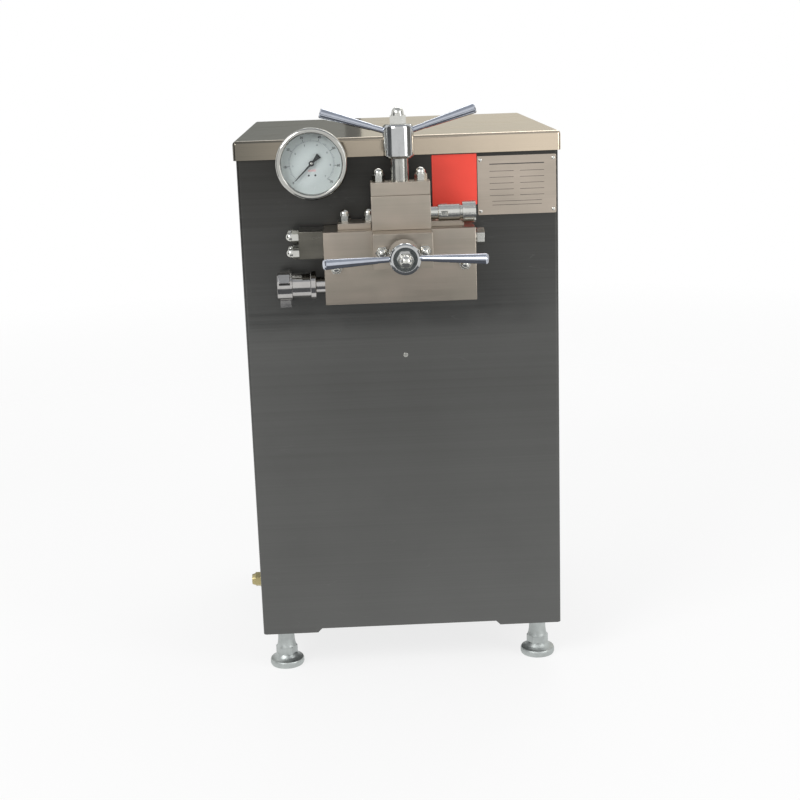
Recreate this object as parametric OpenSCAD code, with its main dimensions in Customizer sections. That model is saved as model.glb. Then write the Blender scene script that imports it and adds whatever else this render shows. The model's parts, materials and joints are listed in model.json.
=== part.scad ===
// Two-stage dairy homogenizer on a floor cabinet.
// Millimetres. The floor is z = 0, the pump faces -y and the cabinet's middle plane is x = 0.
// Modules work from the front panel's face at y = 0; placed() moves the part to its own centre.

/* [Cabinet] */
// Width of the cabinet over its side panels
cab_w = 504; // [490:1:520]
// Depth of the cabinet over its front and rear panels
cab_d = 562; // [555:1:600]
// Height of the cabinet with its lid, above the feet
cab_h = 823; // [815:1:860]
// Height of the lid's skirt
skirt_h = 30; // [24:1:36]
// How far the lid stands out past the panels
lid_over = 4; // [3.5:0.5:6.5]
// Rounding of the lid's edges
lid_r = 6; // [4:0.5:8]
// Thickness of the sheet
sheet = 2; // [1.5:0.25:2.5]
// Outside radius of the panel bends
bend_r = 6; // [4:0.5:8]
// Depth of the panels' folded sides
return_d = 16; // [12:1:20]
// Height of the relief under the front and rear panels
pad_h = 7; // [5:1:9]
// Width of the pad at the lower right corners
pad_w = 102; // [95:1:120]
// Width of the pad at the lower left corners
pad_left = 91; // [85:1:95]
// Gap between neighbouring panels
seam = 0.5; // [0.3:0.1:1]
// Number of louvre slots in the rear panel
rear_slots = 9; // [5:1:11]
// Number of louvre slots in each side panel
side_slots = 7; // [4:1:9]
// Length of a louvre slot
slot_len = 130; // [80:5:150]
// Height of a louvre slot
slot_h = 6; // [4:1:8]
// Distance between louvre slots
slot_pitch = 22; // [18:1:26]

/* [Frame and feet] */
// Leg of the base angle
angle_leg = 40; // [36:1:44]
// Thickness of the base angle
angle_t = 5; // [4:0.5:6]
// Leg of the corner posts
post_leg = 30; // [24:1:32]
// Width of the beams that carry the crankcase
beam_w = 28; // [24:1:30]
// Height of those beams
beam_h = 40; // [30:1:50]
// Height of the feet below the cabinet
foot_h = 73; // [66:1:85]
// Diameter of the foot's disc
foot_d = 58; // [50:1:64]
// Thickness of the foot's disc
foot_rim = 13; // [10:0.5:15]
// Width across flats of the foot's hexagon
foot_af = 32; // [30:1:36]
// Height of the foot's hexagon
foot_hex_h = 17; // [14:1:20]
// Diameter of the foot's upper sleeve
foot_neck_d = 28; // [24:1:30]
// Diameter of the foot's screw
foot_screw_d = 20; // [16:1:22]
// Length of the foot's screw inside the frame
foot_screw_in = 42; // [36:1:46]
// Distance of the feet from the cabinet's sides
foot_inset = 35; // [33:1:45]
// Distance of the feet from the front and rear panels
foot_inset_y = 46; // [42:1:52]

/* [Pump block] */
// Width of the pump block
block_w = 232; // [228:1:240]
// How far the block's middle stands left of the cabinet's
block_shift = 3.5; // [0:0.5:4]
// Height of the pump block
block_h = 111; // [109:1:116]
// Height of the block's underside above the cabinet's foot pads
block_up = 577; // [570:1:584]
// How far the block stands out of the front panel
block_out = 95; // [94:0.5:98]
// How far the block reaches in through the front panel
block_in = 30; // [29:0.5:34]
// Distance between neighbouring plungers
pitch = 67; // [66:0.5:68]
// Distance of the valve axes behind the front panel's face, negative is in front
valve_y = -42; // [-43:0.5:-41]
// Height of the suction bore above the block's underside
suction_up = 23; // [20:0.5:25]
// Diameter of the suction bore
suction_d = 24; // [20:0.5:25]
// Height of the discharge bore above the block's underside
discharge_up = 90; // [88:0.5:92]
// Diameter of the discharge bore
discharge_d = 14; // [10:0.5:15]
// Diameter of the suction balls
suction_ball_d = 14; // [13:0.25:15]
// Diameter of the discharge balls
discharge_ball_d = 20; // [19:0.25:21]
// Thickness of the valve covers
cover_t = 9; // [7:0.5:12]
// Length of the end cap at the block's left
end_cap_l = 38; // [36:1:48]
// Depth of the end cap
end_cap_d = 63; // [60:1:68]
// Height of the end cap
end_cap_h = 42; // [41:0.5:43]
// Width across flats of the hex plug at the block's right
plug_af = 24; // [21:1:27]
// Diameter of the studs under the cap nuts
stud_d = 10; // [9:0.5:10]
// Width across flats of the cap nuts
nut_af = 17; // [15:0.5:17]
// Height of the cap nuts
nut_h = 20; // [17:0.5:21]

/* [Pressure valves] */
// Width of the valve body and bonnets
valve_w = 90; // [86:1:92]
// Depth of the upper valve body
valve_d = 44; // [43:0.5:44]
// Height of the upper valve body
valve_h = 52; // [51:0.5:56]
// Thickness of the upper bonnet
bonnet_t = 20; // [18:0.5:23]
// Height of the front bonnet
front_h = 53; // [51:0.5:54]
// Length of the front bonnet
front_l = 42; // [40:0.5:46]
// Distance of the bonnet studs from the axis
bonnet_stud_x = 32; // [30:0.5:33]
// Diameter of the adjusting screw
screw_d = 28; // [25:0.5:28]
// Length of screw seen between bonnet and hub
screw_seen = 34.5; // [32:0.5:40]
// Pitch of the adjusting screw
screw_pitch = 3; // [2:0.25:3]
// Diameter of the valve chamber
chamber_d = 30; // [29:0.5:32]
// Outside diameter of the disc springs
spring_d = 24; // [22:0.5:26]
// Diameter of the hub
hub_d = 47; // [44:0.5:50]
// Length of the hub
hub_l = 51; // [46:0.5:54]
// Rounding of the hub's outer end
hub_r = 6; // [3:0.5:7]
// Reach of the lever tips from the axis
lever_reach = 117; // [105:0.5:120]
// Angle of the levers off square to the axis
lever_tilt = 17; // [14:0.5:20]
// Diameter of the lever at its outer end
lever_d = 15.5; // [12:0.5:16]
// Diameter of the lever's neck
lever_neck_d = 9; // [8:0.5:9.5]
// Width across flats of the hub's cap nut
hub_nut_af = 21; // [18:0.5:22]
// Height of the hub's cap nut
hub_nut_h = 25; // [22:0.5:26]

/* [Unions] */
// Bore of the inlet
inlet_bore = 20; // [16:0.5:21]
// Length of the inlet from block to mouth
inlet_l = 75; // [70:1:84]
// Outside diameter of the inlet's union nut
inlet_nut_d = 45; // [43:0.5:46]
// Bore of the outlet
outlet_bore = 12; // [9:0.5:13]
// Length of the outlet from valve body to mouth
outlet_l = 69; // [66:1:74]
// Outside diameter of the outlet's union nut
outlet_nut_d = 33; // [31.5:0.5:34]

/* [Gauge] */
// Diameter of the gauge's case
gauge_d = 100; // [96:1:102]
// Diameter of the gauge's bezel
bezel_d = 109; // [108:0.5:112]
// Sideways position of the gauge
gauge_x = -133; // [-134:0.5:-132]
// Height of the gauge above the cabinet's foot pads
gauge_up = 789; // [786:0.5:790]
// Distance of the gauge's stem below its centre
gauge_stem_drop = 34; // [32:0.5:36]
// Distance of the gauge's back from the front panel
gauge_back = 20; // [18:0.5:26]
// Depth of the gauge's case
gauge_case_l = 38; // [34:0.5:42]

/* [Drive] */
// Diameter of the plungers
plunger_d = 20; // [18:0.5:21]
// Throw of the crankshaft's eccentrics
throw = 10; // [8:0.5:10]
// Length of the connecting rods between centres
rod_l = 115; // [114:0.5:118]
// Diameter of the crossheads
crosshead_d = 50; // [50:0.5:52]
// Diameter of the crankshaft
crank_d = 36; // [34:0.5:38]
// Radius of the eccentrics
ecc_r = 30; // [29.5:0.25:31]
// Outside radius of the rods' big ends
strap_r = 41; // [40:0.5:42]
// Distance from the outer plungers to the crankcase's sides
case_side = 63; // [60:0.5:65]
// Wall of the crankcase
case_wall = 12; // [10:0.5:13]
// Pitch radius of the crankshaft's pulley
crank_pulley_r = 134; // [126:1:138]
// Pitch radius of the motor's pulley
motor_pulley_r = 33.5; // [32:0.5:38]
// Height of the motor's shaft above its feet
motor_up = 100; // [96:1:104]
// Diameter of the motor's body
motor_d = 168; // [156:1:174]
// Length of the motor's body
motor_l = 250; // [230:1:270]
// Distance of the motor's shaft behind the front panel
motor_y = 372; // [366:1:384]

/* [Fits] */
// Radial clearance of turning and sliding fits
fit = 0.05; // [0.02:0.01:0.08]
// Clearance between pieces that only pass each other
gap = 0.5; // [0.4:0.1:1]

/* [Hidden] */
$fn = 48;
eps = 0.01;
cab_z = foot_h;
lid_z = cab_z + cab_h;
skirt_z = lid_z - skirt_h;
panel_top = lid_z - sheet - 3;
frame_z = cab_z + pad_h;
in_x = cab_w / 2 - sheet;
in_y = cab_d - sheet;
corner_cut = (bend_r - sheet) * sqrt(2);
block_z = cab_z + block_up;
block_top = block_z + block_h;
block_front = -block_out;
block_x0 = -block_w / 2 - block_shift;
block_x1 = block_w / 2 - block_shift;
plunger_z = block_z + block_h / 2;
suction_z = block_z + suction_up;
discharge_z = block_z + discharge_up;
suction_seat_d = suction_ball_d - 4;
discharge_seat_d = discharge_ball_d - 4;
suction_seat_z = plunger_z - 13.5;
discharge_seat_z = plunger_z + 12.5;
valve_top_d = discharge_ball_d + 4;
packing_d = 34;
packing_l = 24;
gland_l = 6;
stage_y = block_front + valve_d / 2;
front_z = block_top - front_h / 2;
// One entry per pressure valve, the upper one first
stage_top = [valve_h + bonnet_t, front_l];
seat_u = [10, -12];
seat_h = 8;
core_h = 6;
spring_l = [18, 14];
plate_h = 5;
guide_d = 8;
tip_u = [for (i = [0, 1]) seat_u[i] + seat_h + core_h + spring_l[i] + plate_h];
hub_u = [for (i = [0, 1]) stage_top[i] + screw_seen];
spigot_d = 20;
spigot_l = hub_l - 5;
thread_d = 14;
lever_root = hub_l - 9;
lever_l = (lever_reach - hub_d / 2) / cos(lever_tilt);
lever_in = 8;
lever_neck_l = 18;
stud_in = 12;
cover_gap = 1;
cover_l = 51;
cover_front = 25;
cover_rear = 32;
cover_tab = 10;
cover_tab_front = 8;
cover_in = 3;
cover_end = 11;
cover_x0 = valve_w / 2 + cover_gap;
cover_x1 = cover_x0 + cover_l;
cover_y0 = valve_y - cover_front;
cover_y1 = valve_y + cover_rear;
cover_stud = [cover_x0 + cover_in, cover_x1 - cover_end];
end_cap_back = -14;
end_cap_y = end_cap_back - end_cap_d / 2;
end_cap_z = block_top - end_cap_h / 2;
end_stud = [18, 12.5];
block_stud_in = 18;
block_stud_down = 53;
block_stud_x = [block_x0 + block_stud_in, block_x1 - block_stud_in];
block_stud_z = block_top - block_stud_down;
outlet_z = block_top + 22;
inlet_nut_l = 23;
inlet_end_d = 32;
outlet_nut_z = 49;
outlet_end_d = 22;
case_w = 2 * (pitch + case_side);
case_y = block_in;
cross_l = 68;
cross_front = case_y + 50;
cross_wall = 10;
wrist_y = cross_front + 43;
crank_y = wrist_y + rod_l;
guide_y0 = cross_front - throw - 6;
nose_y1 = cross_front + cross_l + throw + 7;
nose_w = block_w - 4;
cave_d = crosshead_d - 8;
strap_w = 24;
ecc_w = 26;
case_in = strap_r + throw + 12;
case_y1 = crank_y + case_in + case_wall;
case_z0 = plunger_z - case_in - case_wall;
case_z1 = plunger_z + case_in + case_wall;
case_foot = 88;
beam_top = case_z0 - case_foot;
beam_y = [crank_y - 24, crank_y + 40];
bearing_d = 80;
bearing_w = 18;
phase = [90, 210, 330];
plunger_x = [-pitch, 0, pitch];
plunger_at = [for (p = phase) throw * cos(p)];
pulley_x = case_w / 2 + 20;
pulley_w = 50;
belt_w = 13;
belt_h = 8;
belt_first = 14;
belt_pitch = 22;
belt_x = [pulley_x + belt_first, pulley_x + belt_first + belt_pitch];
groove_gap = 0.3;
motor_z = frame_z + angle_leg + motor_up;
belt_dy = motor_y - crank_y;
belt_dz = motor_z - plunger_z;
belt_c = sqrt(belt_dy * belt_dy + belt_dz * belt_dz);
belt_aim = atan2(belt_dz, belt_dy);
belt_turn = acos((crank_pulley_r - motor_pulley_r) / belt_c);
motor_x1 = 110;
motor_shaft_d = 28;
gauge_z = cab_z + gauge_up;
gauge_stem_z = gauge_z - gauge_stem_drop;
gauge_stem_d = 14;
gauge_rim = gauge_back + gauge_case_l;
glass_t = 3;
bezel_lip = 8.5;
bezel_back = 8;
bezel_front = 9.5;
needle_hub_d = 8.5;
needle_l = gauge_d * 0.36;
needle_tail = gauge_d * 0.17;
needle_flare = gauge_d * 0.045;
line_d = 8;
line_r = 16;
line_y = 14;
line_out = 6;
line_nut_d = 16;
line_nut_l = 8;
line_collar = 2;
pulley_rim = 14;
pulley_hub = 17;
drain_y = 44;
drain_up = 84;
drain_z = cab_z + drain_up;
drain_d = 16;
drain_r = 30;
drain_flange_d = 26;
drain_flange_t = 3;
drain_af = 22;
drain_hex_h = 8;
drain_tip_l = 6;
drain_x = -60;
drain_back = 22;
drain_up_y = crank_y + drain_back;
gland_x = -170;
gland_up = 110;
gland_z = cab_z + gland_up;
gland_bore = 11;
gland_out = 22;
reach_front = block_out + hub_u[1] + lever_root + lever_l * sin(lever_tilt) + lever_d / 2;
reach_back = cab_d + gland_out;
row_y = (reach_back - reach_front) / 2;

// Moves a piece from the panel's frame to the part's own centre
module placed() {
    translate([0, -row_y, 0]) children();
}

// Box between two corners
module box(a, b) {
    translate(a) cube(b - a);
}

// Cylinder along +x
module xcyl(d, l) {
    rotate([0, 90, 0]) cylinder(d = d, h = l);
}

// Cylinder along +y
module ycyl(d, l) {
    rotate([-90, 0, 0]) cylinder(d = d, h = l);
}

// Hexagonal prism along +z
module hexagon(af, h) {
    cylinder(d = af / cos(30), h = h, $fn = 6);
}

// Quarter of a torus in the xy plane, from +x round to +y
module elbow(r, d) {
    rotate_extrude(angle = 90) translate([r, 0]) circle(d = d);
}

// Puts a valve's own axis u along z on the block: 0 is the upper valve, 1 the front one
module on_stage(i) {
    if (i == 0) translate([0, stage_y, block_top]) children();
    else translate([0, block_front, front_z]) rotate([90, 0, 0]) children();
}

// Cap nut: hexagon, collar and dome
module dome_nut(af, h) {
    r = af * 0.43;
    hexagon(af, h * 0.5);
    translate([0, 0, h * 0.5 - eps]) cylinder(d = af * 0.94, h = h * 0.08 + eps);
    rotate_extrude() intersection() {
        translate([0, h * 0.58 - eps]) square([af, h]);
        translate([0, h - r]) circle(r = r);
        square([r, h]);
    }
}

// All stud places: position, turn and grip below the nut's face
module stud_places(which) {
    if (which == "cover") {
        for (s = [-1, 1], x = cover_stud)
            translate([s * x, valve_y, block_top + cover_t]) children();
    }
    if (which == "top") {
        for (s = [-1, 1]) on_stage(0)
            translate([s * bonnet_stud_x, 0, stage_top[0]]) children();
    }
    if (which == "front") {
        for (s = [-1, 1]) on_stage(1)
            translate([s * bonnet_stud_x, 0, stage_top[1]]) children();
    }
    if (which == "end") {
        for (y = [-1, 1], z = [-1, 1])
            translate([block_x0 - end_cap_l, end_cap_y + y * end_stud[0], end_cap_z + z * end_stud[1]])
                rotate([0, -90, 0]) children();
    }
    if (which == "block") {
        for (x = block_stud_x)
            translate([x, block_front, block_stud_z]) rotate([90, 0, 0]) children();
    }
}

function grip(which) = which == "cover" ? cover_t + stud_in :
    which == "top" ? bonnet_t + stud_in :
    which == "front" ? front_l + stud_in :
    which == "end" ? end_cap_l + stud_in : block_out + block_in + stud_in;

// Holes for one set of studs
module stud_holes(which) {
    stud_places(which) translate([0, 0, -grip(which) - 1])
        cylinder(d = stud_d + 2 * gap, h = grip(which) + 2);
}

// Plan of a folded sheet with its returns towards +y
module fold_plan(w, d, r) {
    translate([-w / 2, r]) square([w, d - r]);
    translate([-w / 2 + r, 0]) square([w - 2 * r, d]);
    for (s = [-1, 1]) translate([s * (w / 2 - r), r]) circle(r = r);
}

module folded_sheet() {
    translate([0, 0, cab_z]) linear_extrude(panel_top - cab_z) difference() {
        fold_plan(cab_w, return_d, bend_r);
        translate([0, sheet]) fold_plan(cab_w - 2 * sheet, return_d, bend_r - sheet);
    }
}

// Relief under a panel, with sloping ends
module relief() {
    x0 = -cab_w / 2 + pad_left;
    x1 = cab_w / 2 - pad_w;
    translate([0, sheet + 1, cab_z]) rotate([90, 0, 0]) linear_extrude(sheet + 2)
        polygon([[x0, -1], [x1, -1], [x1 - pad_h - 1, pad_h], [x0 + pad_h + 1, pad_h]]);
}

// Row of louvre slots in the xz plane, cut along y
module louvres(n, l) {
    for (i = [0 : n - 1]) translate([0, 0, i * slot_pitch]) {
        translate([-l / 2 + slot_h / 2, -5, -slot_h / 2]) cube([l - slot_h, 10, slot_h]);
        for (s = [-1, 1]) translate([s * (l - slot_h) / 2, -5, 0]) ycyl(slot_h, 10);
    }
}

module front_panel() {
    color("#6f6e69") difference() {
        folded_sheet();
        relief();
        box([block_x0 - gap, -1, block_z - gap], [block_x1 + gap, sheet + 1, block_top + gap]);
        translate([gauge_x, -1, gauge_stem_z]) ycyl(gauge_stem_d + 2 * gap, sheet + 2);
        translate([gauge_x, -1, discharge_z]) ycyl(line_d + 2 * gap, sheet + 2);
    }
}

module side_panel() {
    y1 = cab_d - return_d - seam;
    difference() {
        box([in_x, return_d + seam, cab_z], [cab_w / 2, y1, panel_top]);
        for (u = [-1, 1]) translate([cab_w / 2, cab_d / 2 + u * (slot_len / 2 + 18), cab_z + 130])
            rotate([0, 0, 90]) louvres(side_slots, slot_len);
    }
}

module side_panels() {
    color("#77756f") {
        side_panel();
        difference() {
            mirror([1, 0, 0]) side_panel();
            translate([-cab_w / 2 - 1, drain_y, drain_z]) xcyl(drain_d + 2 * gap, sheet + 2);
        }
    }
}

module rear_panel() {
    color("#77756f") difference() {
        translate([0, cab_d, 0]) mirror([0, 1, 0]) difference() {
            folded_sheet();
            relief();
        }
        for (u = [-1, 1]) translate([u * (slot_len / 2 + 18), cab_d - sheet / 2, cab_z + 420])
            louvres(rear_slots, slot_len);
        translate([gland_x, cab_d - sheet - 1, gland_z]) ycyl(20 + 2 * gap, sheet + 2);
    }
}

module lid() {
    x = cab_w / 2 + lid_over - lid_r;
    y0 = -lid_over + lid_r;
    y1 = cab_d + lid_over - lid_r;
    color("#b9b2a4") difference() {
        hull() for (sx = [-x, x], sy = [y0, y1]) translate([sx, sy, skirt_z]) {
            cylinder(r = lid_r, h = skirt_h - lid_r, $fn = 32);
            translate([0, 0, skirt_h - lid_r]) sphere(r = lid_r, $fn = 32);
        }
        box([-cab_w / 2 - lid_over + sheet, -lid_over + sheet, skirt_z - 1],
            [cab_w / 2 + lid_over - sheet, cab_d + lid_over - sheet, lid_z - sheet]);
    }
}

// One corner of the frame: foot plate, threaded boss and post, at the front right
module frame_corner() {
    fx = cab_w / 2 - foot_inset;
    box([cab_w / 2 - pad_left + 4, sheet, cab_z], [in_x, pad_left - 4, frame_z + eps]);
    translate([fx, foot_inset_y, frame_z - eps]) cylinder(d = foot_screw_d + 14, h = angle_leg - 4);
    box([in_x - post_leg, sheet, frame_z], [in_x, sheet + 4, lid_z - sheet]);
    box([in_x - 4, sheet, frame_z], [in_x, sheet + post_leg, lid_z - sheet]);
}

module frame_half() {
    fx = cab_w / 2 - foot_inset;
    box([in_x - angle_t, sheet, frame_z], [in_x, in_y, frame_z + angle_leg]);
    box([in_x - angle_leg, sheet, frame_z], [in_x, in_y, frame_z + angle_t]);
    frame_corner();
    translate([0, cab_d, 0]) mirror([0, 1, 0]) frame_corner();
    box([in_x - beam_w, sheet, beam_top - beam_h], [in_x, in_y, beam_top]);
    for (y = beam_y) box([-eps, y, beam_top - beam_h], [in_x, y + beam_w, beam_top]);
    for (y = [sheet, in_y - angle_t])
        box([-eps, y, frame_z], [in_x, y + angle_t, frame_z + angle_leg]);
    for (y = [motor_y - 95, motor_y + 55])
        box([-eps, y, frame_z], [in_x, y + 40, frame_z + angle_leg]);
    box([-eps, sheet, frame_z], [in_x, in_y, frame_z + sheet]);
}

module frame() {
    fx = cab_w / 2 - foot_inset;
    color("#4c4f52") difference() {
        union() {
            frame_half();
            mirror([1, 0, 0]) frame_half();
        }
        for (sx = [-1, 1], y = [foot_inset_y, cab_d - foot_inset_y])
            translate([sx * fx, y, cab_z - 1]) cylinder(d = foot_screw_d + 2 * fit, h = angle_leg + pad_h);
        for (sx = [-1, 1], y = [sheet, in_y]) translate([sx * in_x, y, cab_z - 1]) rotate([0, 0, 45])
            translate([-corner_cut / 2, -corner_cut / 2, 0]) cube([corner_cut, corner_cut, cab_h + 1]);
    }
}

// Levelling foot: disc with a flared top, hexagon, waisted sleeve and screw
module foot(sx, y) {
    r = foot_d / 2;
    n = foot_neck_d / 2;
    h = foot_af / 2;
    rim = foot_rim;
    top = rim + 4 + foot_hex_h;
    color("#a9aaa8") translate([sx * (cab_w / 2 - foot_inset), y, 0]) {
        rotate_extrude() polygon([[0, 0], [r - 4, 0], [r - 1.2, 1.2], [r, 4], [r, rim - 4],
            [r - 1.2, rim - 1.2], [r - 4, rim], [h + 5, rim + 3], [h + 1.5, rim + 8],
            [h - 1, rim + 10], [0, rim + 10]]);
        translate([0, 0, rim + 2]) hexagon(foot_af, foot_hex_h + 2);
        rotate_extrude() polygon([[0, top - 1], [h + 0.8, top - 1], [h + 0.8, top + 0.5],
            [h - 0.7, top + 5], [n + 0.4, top + 11], [n, top + 17], [n, foot_h],
            [foot_screw_d / 2, foot_h], [foot_screw_d / 2, foot_h + foot_screw_in],
            [0, foot_h + foot_screw_in]]);
    }
}

module oil_drain() {
    color("#c9a24a") {
        translate([-cab_w / 2, drain_y, drain_z]) rotate([0, -90, 0]) {
            cylinder(d = drain_flange_d, h = drain_flange_t);
            translate([0, 0, drain_flange_t - eps]) hexagon(drain_af, drain_hex_h);
            translate([0, 0, drain_flange_t + drain_hex_h - 2 * eps])
                cylinder(d1 = drain_af - 1, d2 = drain_d + 1, h = drain_tip_l);
        }
        translate([-cab_w / 2 - 1, drain_y, drain_z]) xcyl(drain_d, cab_w / 2 + 1 + drain_x - drain_r);
        translate([drain_x - drain_r, drain_y + drain_r, drain_z]) rotate([0, 0, -90])
            elbow(drain_r, drain_d);
        translate([drain_x, drain_y + drain_r, drain_z]) ycyl(drain_d, drain_up_y - drain_y - 2 * drain_r);
        translate([drain_x, drain_up_y - drain_r, drain_z + drain_r]) rotate([90, 0, 90])
            rotate([0, 0, -90]) elbow(drain_r, drain_d);
        translate([drain_x, drain_up_y, drain_z + drain_r])
            cylinder(d = drain_d, h = case_z0 - drain_z - drain_r);
    }
}

module cable_gland() {
    color("#2b2c2e") translate([gland_x, cab_d, gland_z]) rotate([-90, 0, 0]) difference() {
        union() {
            hexagon(27, 8);
            translate([0, 0, 8 - eps]) cylinder(d1 = 25, d2 = 19, h = gland_out - 8 + eps);
            translate([0, 0, -sheet - 12]) cylinder(d = 20, h = sheet + 12 + eps);
            translate([0, 0, -sheet - 8]) hexagon(25, 8);
        }
        translate([0, 0, -sheet - 13]) cylinder(d = gland_bore, h = gland_out + sheet + 14);
    }
}

// Puts the gauge's axis along z, its back towards the panel
module on_gauge() {
    translate([gauge_x, 0, gauge_z]) rotate([90, 0, 0]) children();
}

module gauge_case() {
    color("#9fa3a6") on_gauge() {
        difference() {
            union() {
                translate([0, 0, gauge_back]) cylinder(d = gauge_d, h = gauge_case_l);
                translate([0, -gauge_stem_drop, -line_y + 2])
                    cylinder(d = gauge_stem_d, h = gauge_back + line_y);
                translate([0, -gauge_stem_drop, 4]) hexagon(20, gauge_back - 4 + eps);
            }
            translate([0, 0, gauge_back + 4]) cylinder(d = gauge_d - 14, h = gauge_case_l);
            translate([0, 0, gauge_rim - 12]) cylinder(d = gauge_d - 5, h = 13);
            translate([0, -gauge_stem_drop, -line_y]) cylinder(d = 5, h = 12);
        }
        difference() {
            translate([0, 0, gauge_back + 4 - eps]) cylinder(d = 12, h = gauge_case_l - 20);
            translate([0, 0, gauge_back + 8]) cylinder(d = 3 + 2 * fit, h = gauge_case_l);
        }
    }
}

module gauge_dial() {
    color("#e9ecea") on_gauge() translate([0, 0, gauge_rim - 12]) difference() {
        cylinder(d = gauge_d - 5 - 2 * gap, h = 1.5);
        translate([0, 0, -1]) cylinder(d = 5, h = 4);
    }
}

module gauge_glass() {
    color([0.85, 0.9, 0.92, 0.4]) on_gauge() translate([0, 0, gauge_rim])
        cylinder(d = gauge_d - 2 * gap, h = glass_t);
}

module gauge_bezel() {
    r = bezel_d / 2;
    i = gauge_d / 2 + fit;
    lip = r - bezel_lip;
    back = -bezel_back;
    front = bezel_front;
    seat = glass_t + fit;
    color("#c9ccce") on_gauge() translate([0, 0, gauge_rim]) rotate_extrude()
        polygon([[i, back], [r - 1, back], [r, back + 1], [r, front - 3.5], [r - 1.5, front - 1],
            [r - 4, front], [lip + 1.5, front - 0.5], [lip, front - 2.5], [lip, seat], [i, seat]]);
}

module gauge_needle() {
    color("#26272a") on_gauge() {
        translate([0, 0, gauge_back + 8.5]) cylinder(d = 3, h = gauge_case_l - 16.5);
        translate([0, 0, gauge_rim - 9.5]) cylinder(d = needle_hub_d, h = 4);
        translate([0, 0, gauge_rim - 8]) rotate([0, 0, 225]) linear_extrude(1)
            polygon([[-needle_tail, -needle_flare], [-needle_tail, needle_flare], [-3, 1.4], [0, 1.5],
                [needle_l, 0.7], [needle_l + 1, 0], [needle_l, -0.7], [0, -1.5], [-3, -1.4]]);
    }
}

module gauge_line() {
    down = gauge_stem_z - discharge_z - 2 * line_r;
    color("#b08d57") translate([gauge_x, 0, 0]) {
        translate([0, line_y - line_collar, gauge_stem_z])
            ycyl(line_nut_d + line_collar, line_nut_l - line_collar);
        translate([0, line_y, gauge_stem_z]) ycyl(line_d, line_out + eps);
        translate([0, line_y + line_out, gauge_stem_z - line_r]) rotate([90, 0, 90]) elbow(line_r, line_d);
        translate([0, line_y + line_out + line_r, discharge_z + line_r]) cylinder(d = line_d, h = down);
        translate([0, line_y + line_out, discharge_z + line_r]) rotate([90, 0, 90]) rotate([0, 0, -90])
            elbow(line_r, line_d);
        translate([0, end_cap_back, discharge_z]) ycyl(line_d, line_y + line_out - end_cap_back);
        translate([0, end_cap_back, discharge_z]) ycyl(line_nut_d, line_nut_l);
    }
}

module pump_block() {
    color("#c3bcae") difference() {
        box([block_x0, block_front, block_z], [block_x1, block_in, block_top]);
        for (x = plunger_x) translate([x, 0, 0]) {
            translate([0, valve_y, plunger_z]) ycyl(plunger_d + 2, block_in - valve_y + 1);
            translate([0, block_in - packing_l - gland_l, plunger_z])
                ycyl(packing_d, packing_l + gland_l + 1);
            translate([0, valve_y, suction_z])
                cylinder(d = suction_seat_d, h = suction_seat_z - suction_z + 1);
            translate([0, valve_y, suction_seat_z])
                cylinder(d = discharge_seat_d, h = discharge_seat_z - suction_seat_z + eps);
        }
        for (x = [-pitch, pitch]) translate([x, valve_y, discharge_seat_z])
            cylinder(d = valve_top_d, h = block_top - discharge_seat_z + 1);
        translate([0, valve_y, discharge_seat_z]) cylinder(d = valve_top_d, h = 32);
        translate([block_x0 - 1, valve_y, suction_z]) xcyl(suction_d, pitch + suction_d / 2 + 1 - block_x0);
        translate([block_x0 - 1, valve_y, discharge_z]) xcyl(discharge_d, block_w + 2);
        on_stage(1) translate([0, 0, seat_u[1]]) cylinder(d = chamber_d, h = 1 - seat_u[1]);
        translate([0, block_front, front_z]) ycyl(12, valve_y - block_front);
        translate([0, block_front - 1, block_top - 9]) ycyl(6, 1 + valve_d / 2 + 3);
        translate([0, stage_y, block_top - 9]) cylinder(d = 8, h = 10);
        for (k = ["cover", "front", "end", "block"]) stud_holes(k);
    }
}

module valve_cover() {
    difference() {
        union() {
            box([cover_x0, cover_y0, block_top], [cover_x1, cover_y1, block_top + cover_t]);
            box([cover_x0 - cover_tab, valve_y - cover_tab_front, block_top],
                [cover_x0 + eps, cover_y1, block_top + cover_t]);
        }
        stud_holes("cover");
    }
}

module valve_covers() {
    color("#aaa69c") {
        difference() {
            valve_cover();
            on_outlet() translate([0, 0, outlet_nut_z - gap])
                cylinder(d = outlet_nut_d + 2 * gap, h = outlet_l);
        }
        mirror([1, 0, 0]) valve_cover();
    }
}

module end_cap() {
    x1 = block_x0;
    z = end_cap_h / 2;
    color("#8f8c86") difference() {
        box([x1 - end_cap_l, end_cap_y - end_cap_d / 2, end_cap_z - z], [x1, end_cap_back, end_cap_z + z]);
        translate([gauge_x, valve_y, discharge_z]) xcyl(discharge_d, x1 - gauge_x + 1);
        translate([gauge_x, valve_y, discharge_z]) ycyl(5, end_cap_back - valve_y + 1);
        stud_holes("end");
    }
}

module hex_plug() {
    color("#b5b3ad") translate([block_x1, valve_y, discharge_z]) rotate([0, 90, 0]) {
        translate([0, 0, -14]) cylinder(d = discharge_d - 2 * fit, h = 14 + eps);
        cylinder(d = 18, h = 5);
        translate([0, 0, 5 - eps]) hexagon(plug_af, 12);
    }
}

// Inlet, its own z pointing away from the block
module on_inlet() {
    translate([block_x0, valve_y, suction_z]) rotate([0, -90, 0]) children();
}

module inlet_liner() {
    color("#b9bdc3") on_inlet() difference() {
        union() {
            translate([0, 0, -12]) cylinder(d = suction_d - 2 * fit, h = 12 + eps);
            cylinder(d = 26, h = 16);
            translate([0, 0, 15]) cylinder(d = inlet_nut_d, h = 8);
            translate([0, 0, 23 - eps]) cylinder(d = 38.5, h = inlet_l - inlet_nut_l - 23 + eps);
            translate([0, 0, inlet_l - inlet_nut_l - eps])
                cylinder(d = inlet_end_d, h = inlet_nut_l - 2 + eps);
        }
        translate([0, 0, -13]) cylinder(d = inlet_bore, h = inlet_l + 14);
    }
}

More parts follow.
